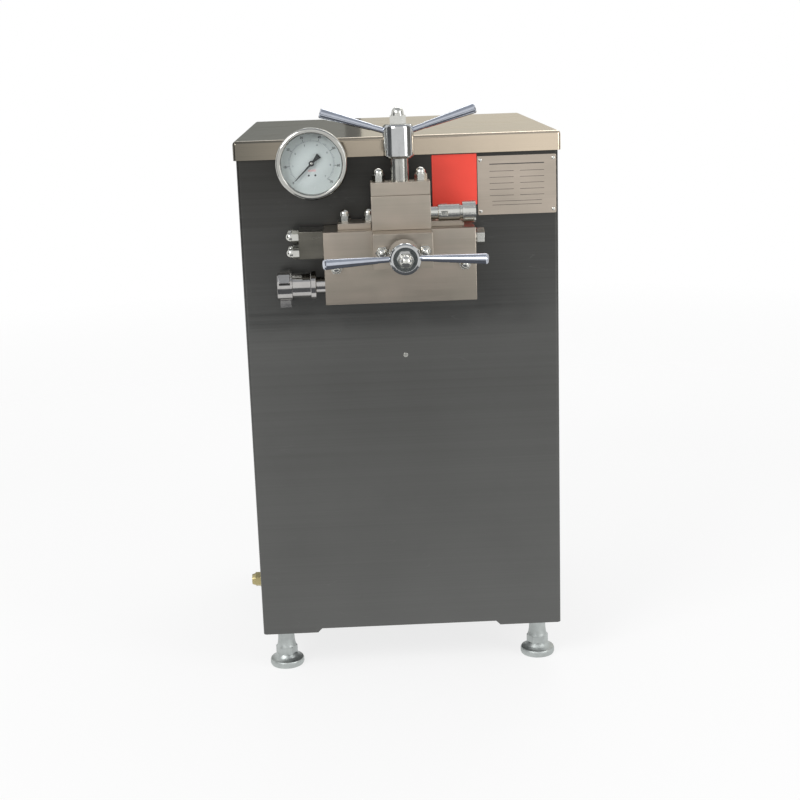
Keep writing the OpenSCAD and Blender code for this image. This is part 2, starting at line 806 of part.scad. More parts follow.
module inlet_union_nut() {
    color("#aeb4bd") on_inlet() translate([0, 0, inlet_l - inlet_nut_l]) difference() {
        union() {
            cylinder(d = inlet_nut_d, h = inlet_nut_l);
            for (a = [0, 120, 240]) rotate([0, 0, a + 180]) translate([10, -7, 3]) cube([22, 14, 17]);
        }
        translate([0, 0, -1]) cylinder(d = inlet_end_d + 2 * fit, h = inlet_nut_l);
        cylinder(d = inlet_end_d - 4, h = inlet_nut_l + 1);
    }
}

// Outlet, its own z pointing away from the valve body
module on_outlet() {
    translate([valve_w / 2, stage_y, outlet_z]) rotate([0, 90, 0]) children();
}

module outlet_liner() {
    color("#b4bbc6") on_outlet() difference() {
        union() {
            translate([0, 0, -8]) cylinder(d = 14, h = 8 + eps);
            cylinder(d = 20, h = 13);
            translate([0, 0, 12]) cylinder(d = 26, h = 33);
            translate([0, 0, 45 - eps]) cylinder(d = outlet_end_d, h = outlet_l - 47);
        }
        translate([0, 0, -9]) cylinder(d = outlet_bore - 2, h = 20);
        translate([0, 0, 9]) cylinder(d = outlet_bore, h = outlet_l);
        for (a = [0, 90, 180, 270]) rotate([0, 0, a]) translate([11, -3, 16]) cube([4, 6, 10]);
    }
}

module outlet_union_nut() {
    color("#aab1bc") on_outlet() difference() {
        translate([0, 0, outlet_nut_z]) cylinder(d = outlet_nut_d, h = outlet_l - outlet_nut_z);
        translate([0, 0, outlet_nut_z - 1]) cylinder(d = outlet_end_d + 2 * fit, h = outlet_l - outlet_nut_z);
        translate([0, 0, outlet_nut_z - 1]) cylinder(d = outlet_end_d - 4, h = outlet_l);
        for (a = [0 : 60 : 300]) rotate([0, 0, a]) translate([outlet_nut_d / 2 - 1.5, -2, outlet_nut_z + 3])
            cube([4, 4, outlet_l]);
    }
}

module suction_balls() {
    up = sqrt(pow(suction_ball_d, 2) - pow(suction_seat_d, 2)) / 2 + 0.05;
    color("#8d9298") for (x = plunger_x)
        translate([x, valve_y, suction_seat_z + up]) sphere(d = suction_ball_d);
}

module discharge_balls() {
    up = sqrt(pow(discharge_ball_d, 2) - pow(discharge_seat_d, 2)) / 2 + 0.05;
    color("#8d9298") for (x = plunger_x)
        translate([x, valve_y, discharge_seat_z + up]) sphere(d = discharge_ball_d);
}

module cap_nuts() {
    color("#d4d6d8") for (k = ["cover", "top", "front", "end", "block"]) stud_places(k) {
        dome_nut(nut_af, nut_h);
        translate([0, 0, -grip(k) + 1]) cylinder(d = stud_d, h = grip(k));
    }
}

module top_valve_body() {
    color("#c3bcae") difference() {
        on_stage(0) difference() {
            translate([-valve_w / 2, -valve_d / 2, 0]) cube([valve_w, valve_d, valve_h]);
            translate([0, 0, -1]) cylinder(d = 10, h = seat_u[0] + 2);
            translate([0, 0, seat_u[0]]) cylinder(d = chamber_d, h = valve_h);
        }
        translate([0, stage_y, outlet_z]) xcyl(outlet_bore - 2, valve_w / 2 + 1);
        on_outlet() translate([0, 0, -8]) cylinder(d = 14 + 2 * fit, h = 9);
        stud_holes("top");
    }
}

module top_bonnet() {
    color("#bdb6a8") difference() {
        on_stage(0) difference() {
            translate([-valve_w / 2, -valve_d / 2, valve_h]) cube([valve_w, valve_d, bonnet_t]);
            translate([0, 0, valve_h - 1]) cylinder(d = screw_d + 2 * fit, h = bonnet_t + 2);
        }
        stud_holes("top");
    }
}

module front_bonnet() {
    color("#bdb6a8") difference() {
        on_stage(1) difference() {
            translate([-valve_w / 2, -front_h / 2, 0]) cube([valve_w, front_h, front_l]);
            translate([0, 0, -1]) cylinder(d = 42, h = 9);
            translate([0, 0, 7]) cylinder(d = chamber_d, h = tip_u[1] - 5);
            translate([0, 0, 7]) cylinder(d = screw_d + 2 * fit, h = front_l);
        }
        stud_holes("front");
    }
}

module valve_seats() {
    color("#d0c9a8") for (i = [0, 1]) on_stage(i) translate([0, 0, seat_u[i]]) difference() {
        cylinder(d = chamber_d - 2 * fit, h = seat_h);
        translate([0, 0, -1]) cylinder(d = 10, h = seat_h + 2);
    }
}

module valve_cores() {
    color("#9c9a90") for (i = [0, 1]) on_stage(i) translate([0, 0, seat_u[i] + seat_h]) {
        cylinder(d = chamber_d - 8, h = core_h);
        cylinder(d = guide_d, h = core_h + spring_l[i] - screw_pitch - 1);
    }
}

// Stack of disc springs, as one zigzag round the core's guide
module disc_spring(i) {
    n = 5;
    l = spring_l[i] / n;
    r0 = guide_d / 2 + 1;
    r1 = spring_d / 2;
    out = [for (k = [0 : n]) [k % 2 == 0 ? r0 + 3.5 : r1, k * l]];
    back = [for (k = [n : -1 : 0]) [k % 2 == 0 ? r0 : r1 - 3.5, k * l]];
    color("#5d6166") on_stage(i) translate([0, 0, seat_u[i] + seat_h + core_h])
        rotate_extrude() polygon(concat(out, back));
}

module spring_plate(i) {
    color("#8b8f94") on_stage(i) translate([0, 0, tip_u[i] - plate_h]) difference() {
        cylinder(d = chamber_d - 3, h = plate_h);
        translate([0, 0, -1]) cylinder(d = guide_d + 1, h = plate_h - 1);
    }
}

module adjusting_screw(i) {
    color("#c7cacd") on_stage(i) {
        translate([0, 0, tip_u[i]]) cylinder(d = screw_d, h = hub_u[i] - tip_u[i]);
        translate([0, 0, hub_u[i] - eps]) cylinder(d = spigot_d, h = spigot_l + eps);
        translate([0, 0, hub_u[i] + spigot_l - eps]) cylinder(d = thread_d, h = hub_l - spigot_l + 12);
    }
}

// Puts a lever's own axis along z, starting on the hub's surface
module lever_places() {
    for (a = [0, 180]) rotate([0, 0, a])
        translate([hub_d / 2, 0, lever_root]) rotate([0, 90 - lever_tilt, 0]) children();
}

module hub(i) {
    r = hub_d / 2;
    color("#aab2c0") on_stage(i) translate([0, 0, hub_u[i]]) difference() {
        rotate_extrude() polygon([[0, 0], [r - 4, 0], [r, 4], [r, hub_l - hub_r],
            [r - hub_r * 0.13, hub_l - hub_r * 0.5], [r - hub_r * 0.5, hub_l - hub_r * 0.13],
            [r - hub_r, hub_l], [0, hub_l]]);
        translate([0, 0, -1]) cylinder(d = spigot_d + 2 * fit, h = spigot_l + 1);
        cylinder(d = thread_d + 2 * fit, h = hub_l + 1);
        lever_places() translate([0, 0, -lever_in]) cylinder(d = lever_neck_d + 2 * fit, h = lever_in + 9);
    }
}

module levers(i) {
    n = lever_neck_d;
    color("#b3bbca") on_stage(i) translate([0, 0, hub_u[i]]) lever_places() {
        translate([0, 0, -lever_in + 1]) cylinder(d = n, h = lever_in + lever_neck_l - 1);
        translate([0, 0, lever_neck_l - eps])
            cylinder(d1 = n + 1, d2 = lever_d, h = lever_l - lever_neck_l - 1.5);
        translate([0, 0, lever_l - 1.5 - 2 * eps]) cylinder(d1 = lever_d, d2 = lever_d - 3, h = 1.5);
    }
}

module hub_nut(i) {
    color("#d4d6d8") on_stage(i) translate([0, 0, hub_u[i] + hub_l]) difference() {
        dome_nut(hub_nut_af, hub_nut_h);
        translate([0, 0, -1]) cylinder(d = thread_d + 2 * fit, h = 14);
    }
}

module crankcase() {
    w = case_w / 2;
    color("#5f6a66") difference() {
        union() {
            box([-nose_w / 2, case_y, block_z + 2], [nose_w / 2, nose_y1, block_top - 2]);
            box([-w, nose_y1 - case_wall, case_z0], [w, case_y1, case_z1]);
            for (s = [-1, 1]) box([s * (w - 25) - 20, beam_y[0] - 6, beam_top],
                [s * (w - 25) + 20, beam_y[1] + beam_w + 6, case_z0 + 1]);
        }
        box([-w + case_wall, nose_y1, case_z0 + case_wall],
            [w - case_wall, case_y1 - case_wall, case_z1 - case_wall]);
        for (x = plunger_x) translate([x, 0, plunger_z]) {
            translate([0, case_y - 1, 0]) ycyl(plunger_d + 12, guide_y0 - case_y + 2);
            translate([0, guide_y0, 0]) ycyl(crosshead_d + 2 * fit, nose_y1 - guide_y0 + 1);
        }
        translate([-w - 1, crank_y, plunger_z]) xcyl(bearing_d + 2 * fit, case_w + 2);
        translate([drain_x, drain_up_y, case_z0 - 1]) cylinder(d = drain_d - 4, h = case_wall + 2);
        stud_holes("block");
    }
}

module crank_bearings() {
    color("#8e9296") for (s = [0, 1]) mirror([s, 0, 0])
        translate([case_w / 2 - bearing_w + 3, crank_y, plunger_z]) rotate([0, 90, 0]) difference() {
            cylinder(d = bearing_d, h = bearing_w);
            translate([0, 0, -1]) cylinder(d = crank_d + 2 * fit, h = bearing_w + 2);
            translate([0, 0, bearing_w - 2]) difference() {
                cylinder(d = bearing_d - 14, h = 3);
                cylinder(d = crank_d + 14, h = 3);
            }
        }
}

// Centre of one eccentric, seen along the crankshaft
module on_ecc(k) {
    translate([plunger_x[k], crank_y + throw * cos(phase[k]), plunger_z + throw * sin(phase[k])]) children();
}

module crankshaft() {
    x0 = -case_w / 2 - 4;
    color("#a0a39f") {
        translate([x0, crank_y, plunger_z]) xcyl(crank_d, pulley_x + pulley_w - x0);
        for (k = [0, 1, 2]) on_ecc(k) translate([-ecc_w / 2, 0, 0]) xcyl(2 * ecc_r, ecc_w);
    }
}

// V groove cut by one belt, in the plane of radius and width
function groove(r, w, g) = [[r - belt_h / 2 - g, w - belt_w * 0.3 - g], [r + belt_h, w - belt_w * 0.62 - g],
    [r + belt_h, w + belt_w * 0.62 + g], [r - belt_h / 2 - g, w + belt_w * 0.3 + g]];

// Section of one belt: offset from the pitch line and from the belt's middle
belt_section = [[-belt_h / 2, -belt_w * 0.3], [belt_h / 2, -belt_w * 0.5],
    [belt_h / 2, belt_w * 0.5], [-belt_h / 2, belt_w * 0.3]];
// Stations round the belt: centre along the line of centres, pitch radius and angle
belt_stations = concat(
    [for (k = [0 : 48]) [0, crank_pulley_r, belt_turn + (360 - 2 * belt_turn) * k / 48]],
    [for (k = [0 : 24]) [belt_c, motor_pulley_r, -belt_turn + 2 * belt_turn * k / 24]]);

module pulley_profile(r, bore) {
    difference() {
        translate([bore, 0]) square([r + belt_h / 2 + 1 - bore, pulley_w]);
        for (x = belt_x) polygon(groove(r, x - pulley_x, groove_gap));
    }
}

module crank_pulley() {
    web = crank_pulley_r - belt_h - pulley_rim;
    color("#4b4e50") translate([pulley_x, crank_y, plunger_z]) rotate([90, 0, 90]) difference() {
        rotate_extrude() pulley_profile(crank_pulley_r, crank_d / 2 + fit);
        for (z = [-1, pulley_w - 15]) translate([0, 0, z]) difference() {
            cylinder(r = web, h = 16);
            translate([0, 0, -1]) cylinder(d = crank_d + 2 * pulley_hub, h = 18);
        }
    }
}

module motor_pulley() {
    color("#4b4e50") translate([pulley_x, motor_y, motor_z]) rotate([90, 0, 90])
        rotate_extrude() pulley_profile(motor_pulley_r, motor_shaft_d / 2 + fit);
}

module drive_belts() {
    n = len(belt_stations);
    points = [for (t = belt_stations, q = belt_section)
        [t[0] + (t[1] + q[0]) * cos(t[2]), (t[1] + q[0]) * sin(t[2]), q[1]]];
    faces = [for (i = [0 : n - 1], j = [0 : 3]) let (m = (i + 1) % n, k = (j + 1) % 4)
        [i * 4 + j, i * 4 + k, m * 4 + k, m * 4 + j]];
    color("#1f2022") for (x = belt_x) translate([x, crank_y, plunger_z]) rotate([90, 0, 90])
        rotate([0, 0, belt_aim]) polyhedron(points = points, faces = faces);
}

module plunger(k) {
    y = plunger_at[k];
    front = valve_y + suction_ball_d / 2 + throw + 4;
    color("#bfc2c4") translate([plunger_x[k], y, plunger_z]) {
        translate([0, front, 0]) ycyl(plunger_d, cross_front - front + 1);
        difference() {
            translate([0, cross_front, 0]) ycyl(crosshead_d, cross_l);
            translate([0, cross_front + cross_wall, 0]) ycyl(cave_d, cross_l);
        }
    }
}

module rod(k) {
    l = rod_l;
    color("#7b8084") on_ecc(k) rotate([90, 0, 90]) translate([0, 0, -strap_w / 2]) difference() {
        union() {
            cylinder(r = strap_r, h = strap_w);
            translate([-l, 0, 4]) cylinder(r = 9, h = strap_w - 8);
            translate([0, 0, 4]) linear_extrude(strap_w - 8)
                polygon([[-l, -6], [-strap_r + 8, -12], [-strap_r + 8, 12], [-l, 6]]);
        }
        translate([0, 0, -1]) cylinder(r = ecc_r + fit, h = strap_w + 2);
        translate([-l, 0, -1]) cylinder(d = 10, h = strap_w + 2);
    }
}

module packings() {
    color("#d8cfa8") for (x = plunger_x) translate([x, block_in - packing_l - gland_l, plunger_z]) {
        difference() {
            ycyl(packing_d - 2 * fit, packing_l);
            translate([0, -1, 0]) ycyl(plunger_d + 2 * fit, packing_l + 2);
        }
        difference() {
            translate([0, packing_l, 0]) ycyl(packing_d - 2 * fit, gland_l);
            translate([0, packing_l - 1, 0]) ycyl(plunger_d + 2 * fit, gland_l + 2);
        }
    }
}

module motor_body() {
    x0 = motor_x1 - motor_l;
    color("#3f5a78") translate([0, motor_y, motor_z]) difference() {
        union() {
            translate([x0, 0, 0]) xcyl(motor_d - 22, motor_l);
            translate([x0 - 52, 0, 0]) xcyl(motor_d, 54);
            translate([motor_x1 - 16, 0, 0]) xcyl(motor_d, 16);
            for (a = [30 : 12 : 330]) rotate([a - 90, 0, 0])
                translate([x0 + 4, -2, motor_d / 2 - 14]) cube([motor_l - 24, 4, 12]);
            for (s = [-1, 1])
                box([x0 + 40, s * 65 - 22, -motor_up], [motor_x1 - 40, s * 65 + 22, -motor_up + 12]);
            for (s = [-1, 1]) box([x0 + 40, s * 55 - 8, -motor_up + 6], [motor_x1 - 40, s * 55 + 8, -30]);
            box([x0 + 70, -50, motor_d / 2 - 26], [x0 + 170, 50, motor_d / 2 + 30]);
        }
        translate([x0 - 53, 0, 0]) xcyl(motor_shaft_d + 2 * fit, motor_l + 60);
        translate([x0 - 48, 0, 0]) xcyl(motor_d - 8, 46);
        for (a = [0 : 45 : 315]) rotate([a, 0, 0]) translate([x0 - 53, 0, motor_d / 2 - 36]) xcyl(14, 8);
    }
}

module motor_rotor() {
    x0 = motor_x1 - motor_l;
    color("#9a9da0") translate([0, motor_y, motor_z]) {
        translate([x0 - 44, 0, 0]) xcyl(motor_shaft_d, pulley_x + pulley_w - x0 + 44);
        translate([x0 - 40, 0, 0]) xcyl(60, 30);
        for (a = [0 : 60 : 300]) rotate([a, 0, 0])
            translate([x0 - 36, -2, 20]) cube([22, 4, motor_d / 2 - 32]);
    }
}

placed() front_panel();
placed() side_panels();
placed() rear_panel();
placed() lid();
placed() frame();
placed() foot(-1, foot_inset_y);  // foot_front_left
placed() foot(1, foot_inset_y);  // foot_front_right
placed() foot(-1, cab_d - foot_inset_y);  // foot_rear_left
placed() foot(1, cab_d - foot_inset_y);  // foot_rear_right
placed() oil_drain();
placed() cable_gland();
placed() gauge_case();
placed() gauge_bezel();
placed() gauge_dial();
placed() gauge_glass();
placed() gauge_needle();
placed() gauge_line();
placed() pump_block();
placed() valve_covers();
placed() end_cap();
placed() hex_plug();
placed() inlet_liner();
placed() inlet_union_nut();
placed() outlet_liner();
placed() outlet_union_nut();
placed() suction_balls();
placed() discharge_balls();
placed() cap_nuts();
placed() top_valve_body();
placed() top_bonnet();
placed() front_bonnet();
placed() valve_seats();
placed() valve_cores();
placed() disc_spring(0);  // top_spring
placed() disc_spring(1);  // front_spring
placed() spring_plate(0);  // top_spring_plate
placed() spring_plate(1);  // front_spring_plate
placed() adjusting_screw(0);  // top_screw
placed() hub(0);  // top_hub
placed() levers(0);  // top_levers
placed() hub_nut(0);  // top_hub_nut
placed() adjusting_screw(1);  // front_screw
placed() hub(1);  // front_hub
placed() levers(1);  // front_levers
placed() hub_nut(1);  // front_hub_nut
placed() crankcase();
placed() crank_bearings();
placed() crankshaft();
placed() crank_pulley();
placed() plunger(0);  // plunger_left
placed() plunger(1);  // plunger_middle
placed() plunger(2);  // plunger_right
placed() rod(0);  // rod_left
placed() rod(1);  // rod_middle
placed() rod(2);  // rod_right
placed() packings();
placed() motor_body();
placed() motor_rotor();
placed() motor_pulley();
placed() drive_belts();
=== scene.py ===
import json
import math

import bmesh
import bpy
from mathutils import Matrix, Vector

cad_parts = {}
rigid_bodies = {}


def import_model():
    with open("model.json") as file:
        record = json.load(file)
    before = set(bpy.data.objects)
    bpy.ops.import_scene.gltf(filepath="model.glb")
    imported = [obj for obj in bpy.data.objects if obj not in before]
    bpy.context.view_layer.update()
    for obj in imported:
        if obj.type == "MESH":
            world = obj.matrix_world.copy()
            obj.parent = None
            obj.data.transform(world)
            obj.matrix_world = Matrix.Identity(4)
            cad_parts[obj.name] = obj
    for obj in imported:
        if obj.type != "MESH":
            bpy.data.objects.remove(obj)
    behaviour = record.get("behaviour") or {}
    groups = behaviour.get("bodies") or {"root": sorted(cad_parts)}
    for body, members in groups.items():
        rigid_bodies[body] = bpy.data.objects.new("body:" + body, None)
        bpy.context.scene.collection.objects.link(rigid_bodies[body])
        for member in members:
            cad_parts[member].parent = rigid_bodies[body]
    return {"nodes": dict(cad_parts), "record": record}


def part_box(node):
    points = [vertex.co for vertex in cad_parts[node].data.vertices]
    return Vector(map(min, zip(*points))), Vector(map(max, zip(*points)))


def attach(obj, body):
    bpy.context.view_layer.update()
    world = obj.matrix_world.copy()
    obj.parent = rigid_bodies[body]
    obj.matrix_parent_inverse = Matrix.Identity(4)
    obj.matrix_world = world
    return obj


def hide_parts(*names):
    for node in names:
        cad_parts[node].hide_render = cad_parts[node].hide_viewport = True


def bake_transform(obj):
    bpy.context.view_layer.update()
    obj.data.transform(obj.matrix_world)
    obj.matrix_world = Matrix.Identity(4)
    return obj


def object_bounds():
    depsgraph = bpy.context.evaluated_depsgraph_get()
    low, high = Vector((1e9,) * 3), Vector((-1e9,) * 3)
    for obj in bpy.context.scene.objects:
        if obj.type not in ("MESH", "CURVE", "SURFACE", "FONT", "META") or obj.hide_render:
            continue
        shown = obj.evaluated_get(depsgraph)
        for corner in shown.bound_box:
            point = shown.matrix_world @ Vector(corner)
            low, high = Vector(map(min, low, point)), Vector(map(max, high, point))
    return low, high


# Only the part and its stage are in the scene
for leftover in list(bpy.data.objects):
    bpy.data.objects.remove(leftover, do_unlink=True)
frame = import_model()
CAD_BOX = [list(corner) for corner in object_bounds()]

bl_info = {
    "name": "Dairy Homogenizer Finish",
    "version": (1, 0, 0),
    "blender": (4, 5, 0),
    "location": "View3D > Sidebar > Homogenizer",
    "description": "Dresses the homogenizer's solids in brushed, ground and chromed steel",
    "category": "Object",
}

MM = 0.001
NODES = frame["nodes"]
BODY_OF = {node: body for body, nodes in frame["record"]["behaviour"]["bodies"].items() for node in nodes}
SLOT_OF = {name: obj.material_slots[0].material.name.split(".")[0] for name, obj in NODES.items()}

# Faces of the panels and the dial, where plates, screws and marks sit
PANEL_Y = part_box("front_panel")[0].y
REAR_LOW, REAR_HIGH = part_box("rear_panel")
DIAL_LOW, DIAL_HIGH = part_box("gauge_dial")
DIAL_CENTRE = (DIAL_LOW + DIAL_HIGH) / 2

# Dial: thickness of the ink, and length, width and outward shift of its ticks
DIAL_INK = 0.06 * MM
SMALL_TICK = (2.2 * MM, 0.28 * MM, 0.0)
HALF_TICK = (3.2 * MM, 0.40 * MM, 0.5 * MM)
NUMBERED_TICK = (4.6 * MM, 0.75 * MM, 1.2 * MM)
# Thin ring inside the ticks, of short bars that overlap a little
RING_BARS = 180
RING_OVERLAP = 1.03
RING_WIDTH = 0.14 * MM
RING_INSET = 1.1 * MM
# How far the numbers stand outside the scale's ring, and by how much of their height they are thickened
OUTER_NUMBERS = 6.6 * MM
INNER_NUMBERS = -5.8 * MM
NUMBER_WEIGHT = 0.03
# Two red bars under the needle's hub
RED_BAR = (12.0 * MM, 0.8 * MM, DIAL_INK)
RED_PITCH = 1.6 * MM
RED_DROP = 10.2 * MM
# The dial's two screws: diameter and height, and their places from the middle
DIAL_SCREW = (3.0 * MM, 0.7 * MM)
DIAL_SCREW_X = 5.0 * MM
DIAL_SCREW_DROP = 18.3 * MM
# Needle's pivot cap: radius and height above the needle's face
PIVOT_PROFILE = ((0.0, 0.9 * MM), (1.2 * MM, 0.8 * MM), (2.0 * MM, 0.4 * MM), (2.2 * MM, 0.0), (0.0, 0.0))

# Plates: corner radii, rounding of the edge with its steps and least angle, and thickness of the ink
RED_CORNER = 1.5 * MM
RATING_CORNER = 2.0 * MM
PLATE_EDGE = (0.25 * MM, 2, 40.0)
PLATE_INK = 0.04 * MM
# Ruled lines in millimetres: offset from the middle, count, drop below the upper edge, pitch, width, height
HEADING_LINE = (0, 1, 13, 0, 86, 1.6)
LEFT_LINES = (-24, 5, 24, 9.5, 38, 0.7)
RIGHT_LINES = (24, 5, 24, 9.5, 38, 0.7)
FOOT_LINES = (0, 2, 71, 6, 78, 0.7)
# Rivets: height of the head, and how much narrower and lower than the plate their grid is
RIVET_HEIGHT = 1.4 * MM
RIVET_INSET = (9 * MM, 12 * MM)

# Front screw: height of its head and its place on the panel
FRONT_SCREW_HEIGHT = 1.2 * MM
FRONT_SCREW = (3 * MM, PANEL_Y, 547 * MM)
# Rear screws: height of the head, columns and rows, what their grid lacks of the panel, and its drop
REAR_SCREW_HEIGHT = 2.2 * MM
REAR_GRID = (2, 4)
REAR_INSET = (34 * MM, 130 * MM)
REAR_DROP = 18 * MM

# Steps of a turned piece, of a domed head's quarter circle and of a plate's corner
TURNED_STEPS = 24
DOME_STEPS = 6
CORNER_STEPS = 4
# Least angle of a turned piece's sharp edges, in degrees
TURNED_CREASE = 40.0
# Share of a domed head's height that is its straight rim
RIM_SHARE = 0.25
# Cross recess: arm and half width by the head's diameter, its ends by the head's height, and its taper
RECESS_ARM = 0.29
RECESS_HALF = 0.06
RECESS_TOP = 1.3
RECESS_FLOOR = 0.35
RECESS_TAPER = 0.7

# Dust: its tone and how much it dulls; a scratch is paler than its metal by a factor and a step
DUST_TONE = (0.42, 0.40, 0.36)
DUST_DULLS = 0.6
SCRATCH_LIFT = (1.5, 0.03)
# How much hands dull a coat, and the heights of a metal's grain and a coat's skin
COAT_SMUDGE = 0.12
GRAIN_HEIGHT = 0.2 * MM
SKIN_HEIGHT = 0.3 * MM
WHITE = (1.0, 1.0, 1.0, 1.0)
FLOOR_TONE = (0.86, 0.86, 0.86, 1.0)

# Cards round and above the stage: lowest corner, highest corner and tone
CARDS = {
    "lever_flag": ((-0.32, -0.76, 0.56), (0.24, -0.30, 0.56), (0.15, 0.155, 0.165)),
    "hub_flag": ((-0.16, -2.6, 0.17), (0.30, -2.6, 0.60), (0.10, 0.11, 0.11)),
    "ceiling_flag": ((-1.6, -2.2, 2.7), (1.6, 0.7, 2.7), (0.52, 0.54, 0.57)),
    "left_flag": ((-1.7, -1.5, 0.2), (-1.7, -0.2, 2.2), (0.12, 0.125, 0.13)),
    "right_flag": ((1.9, -1.2, 0.3), (1.9, 0.1, 1.7), (0.22, 0.215, 0.20)),
    "rear_left_flag": ((-2.6, 2.2, 0.6), (-0.09, 2.2, 2.6), (0.25, 0.255, 0.235)),
    "rear_strip_flag": ((-0.09, 2.2, 0.6), (-0.04, 2.2, 2.6), (0.13, 0.13, 0.12)),
    "rear_right_flag": ((-0.04, 2.2, 0.6), (2.6, 2.2, 2.6), (0.61, 0.575, 0.49)),
}
# Lamps: place, and width and height
LAMPS = {
    "key": ((-1.9, -2.3, 2.5), (1.6, 1.6)),
    "fill": ((2.3, -1.7, 1.5), (1.2, 1.8)),
    "back": ((0.4, 1.9, 2.4), (2.0, 1.0)),
}
LAMP_AIM = (0.0, -0.1, 0.5)
FLOOR_SIDES = 96
FLOOR_GAP = 0.5 * MM
# Shares of the floor's radius between which it fades out, and the white share of what gloss and camera see
FLOOR_FADE = (0.35, 0.95)
FLOOR_LIFT = 0.8
SENSOR_WIDTH = 36.0
VIEW_END = 50.0


# Settings that a user would change


def colour_prop(name, description, default):
    return bpy.props.FloatVectorProperty(
        name=name, description=description, subtype="COLOR", size=3, default=default)


def length_prop(name, description, default):
    return bpy.props.FloatProperty(
        name=name, description=description, unit="LENGTH", default=default, min=0.0)


def angle_prop(name, description, default):
    return bpy.props.FloatProperty(name=name, description=description, subtype="ANGLE", default=default)


def power_prop(name, description, default):
    return bpy.props.FloatProperty(
        name=name, description=description, unit="POWER", default=default, min=0.0)


def edges_prop(name, default):
    return bpy.props.FloatVectorProperty(
        name=name, description="Left, right, lower and upper edge on the front panel",
        size=4, unit="LENGTH", default=default)


class FinishSettings(bpy.types.PropertyGroup):
    """Colours of the finishes"""

    # The panel's two tones also span its painted shade near the top and its painted floor reflection lower
    # down
    panel_dark: colour_prop(
        "Panel, dark grain", "Darker tone of the brushed sheets", (0.044, 0.043, 0.040))
    panel_light: colour_prop(
        "Panel, light grain", "Lighter tone of the brushed sheets", (0.150, 0.152, 0.148))
    # The lid's two tones also span its painted reflection, darker on the left and lighter on the right
    lid_dark: colour_prop("Lid, dark grain", "Darker tone of the lid's satin sheet", (0.165, 0.152, 0.125))
    lid_light: colour_prop("Lid, light grain", "Lighter tone of the lid's satin sheet", (0.76, 0.642, 0.50))
    block_dark: colour_prop(
        "Block, dark tone", "Darker tone of the ground pump block and valve bodies", (0.380, 0.349, 0.292))
    block_light: colour_prop("Block, light tone", "Lighter tone of the ground blocks", (0.478, 0.411, 0.349))
    chrome: colour_prop("Lever chrome", "Slightly blue polish of the levers", (0.52, 0.55, 0.62))
    hub: colour_prop("Hub chrome", "Polish of the handles' hubs", (0.53, 0.54, 0.54))
    union: colour_prop("Union steel", "Polished steel of the inlet's union", (0.50, 0.488, 0.475))
    bright: colour_prop("Bright steel", "Nuts, screws, bezel and turned pieces", (0.68, 0.68, 0.64))
    zinc: colour_prop("Zinc", "Plated levelling feet", (0.48, 0.51, 0.50))
    brass: colour_prop("Brass", "Oil drain and the gauge's line", (0.50, 0.43, 0.22))
    red_plate: colour_prop("Red plate", "Plain red plate beside the rating plate", (0.93, 0.075, 0.048))
    dial: colour_prop("Dial", "Face of the pressure gauge", (0.335, 0.362, 0.362))


class EdgeSettings(bpy.types.PropertyGroup):
    """Roundings of the edges"""

    block: length_prop("Blocks", "Rounding of the ground blocks' edges", 0.7 * MM)
    sheet: length_prop("Sheets", "Rounding of the cut sheet edges", 0.35 * MM)
    turned: length_prop("Turned pieces", "Rounding of nuts, unions, hubs and levers", 0.45 * MM)
    bezel: length_prop("Bezel", "Rounding of the gauge's rolled bezel", 1.0 * MM)
    foot: length_prop("Feet", "Rounding of the cast feet", 1.0 * MM)


class DialSettings(bpy.types.PropertyGroup):
    """Markings of the pressure gauge"""

    majors: bpy.props.IntProperty(
        name="Major divisions", description="Numbered steps round the scale", default=7, min=2)
    minors: bpy.props.IntProperty(
        name="Minor divisions", description="Small steps in each numbered one", default=10, min=1)
    step: bpy.props.IntProperty(
        name="Number step", description="Difference between neighbouring numbers", default=10)
    sweep: angle_prop("Sweep", "Angle from the first mark to the last", math.radians(270))
    ring: length_prop("Scale radius", "Radius of the scale's ring", 34.5 * MM)
    outer_text: length_prop("Outer numbers", "Height of the outer numbers", 5.0 * MM)
    inner_text: length_prop("Inner numbers", "Height of the inner numbers", 3.6 * MM)


class PlateSettings(bpy.types.PropertyGroup):
    """Plates and small fasteners on the cabinet"""

    red_box: edges_prop("Red plate", (53 * MM, 123.5 * MM, 785 * MM, 864.5 * MM))
    rating_box: edges_prop("Rating plate", (124.5 * MM, 248.5 * MM, 768 * MM, 860 * MM))
    thickness: length_prop("Plate thickness", "Thickness of both plates", 0.8 * MM)
    rivet: length_prop("Rivet diameter", "Diameter of the rivets' heads", 5.6 * MM)
    screw: length_prop("Screw diameter", "Diameter of the screws' heads", 8 * MM)


class StageSettings(bpy.types.PropertyGroup):
    """Camera, floor and light"""

    camera_place: bpy.props.FloatVectorProperty(
        name="Camera", description="Place of the camera", size=3, unit="LENGTH",
        default=(-0.0695, PANEL_Y - 2.28546, 1.0424))
    camera_yaw: angle_prop("Yaw", "Turn of the camera about the vertical", 0.0266)
    camera_pitch: angle_prop("Pitch", "How far the camera looks down", 0.2444)
    camera_roll: angle_prop("Roll", "Tilt of the camera about its own axis", -0.0334)
    lens: bpy.props.FloatProperty(
        name="Lens", description="Focal length in millimetres", unit="CAMERA", default=65.17)
    floor_radius: length_prop("Floor radius", "Radius of the pale floor", 4.0)
    world_level: bpy.props.FloatProperty(
        name="World level", description="Strength of the even light from all round", default=0.55)
    key_power: power_prop("Key lamp", "Power of the large lamp at the front left", 62.0)
    fill_power: power_prop("Fill lamp", "Power of the lamp at the right", 26.0)
    back_power: power_prop("Back lamp", "Power of the lamp above the rear", 24.0)


def edges_of():
    return bpy.context.scene.homogenizer_edges


# Node trees


def add(tree, kind, inputs=None, **attributes):
    """New node with its attributes, its inputs linked to sockets or set to values"""
    node = tree.nodes.new(kind)
    for key, value in attributes.items():
        setattr(node, key, value)
    for key, value in (inputs or {}).items():
        if isinstance(value, bpy.types.NodeSocket):
            tree.links.new(value, node.inputs[key])
        else:
            node.inputs[key].default_value = value
    return node


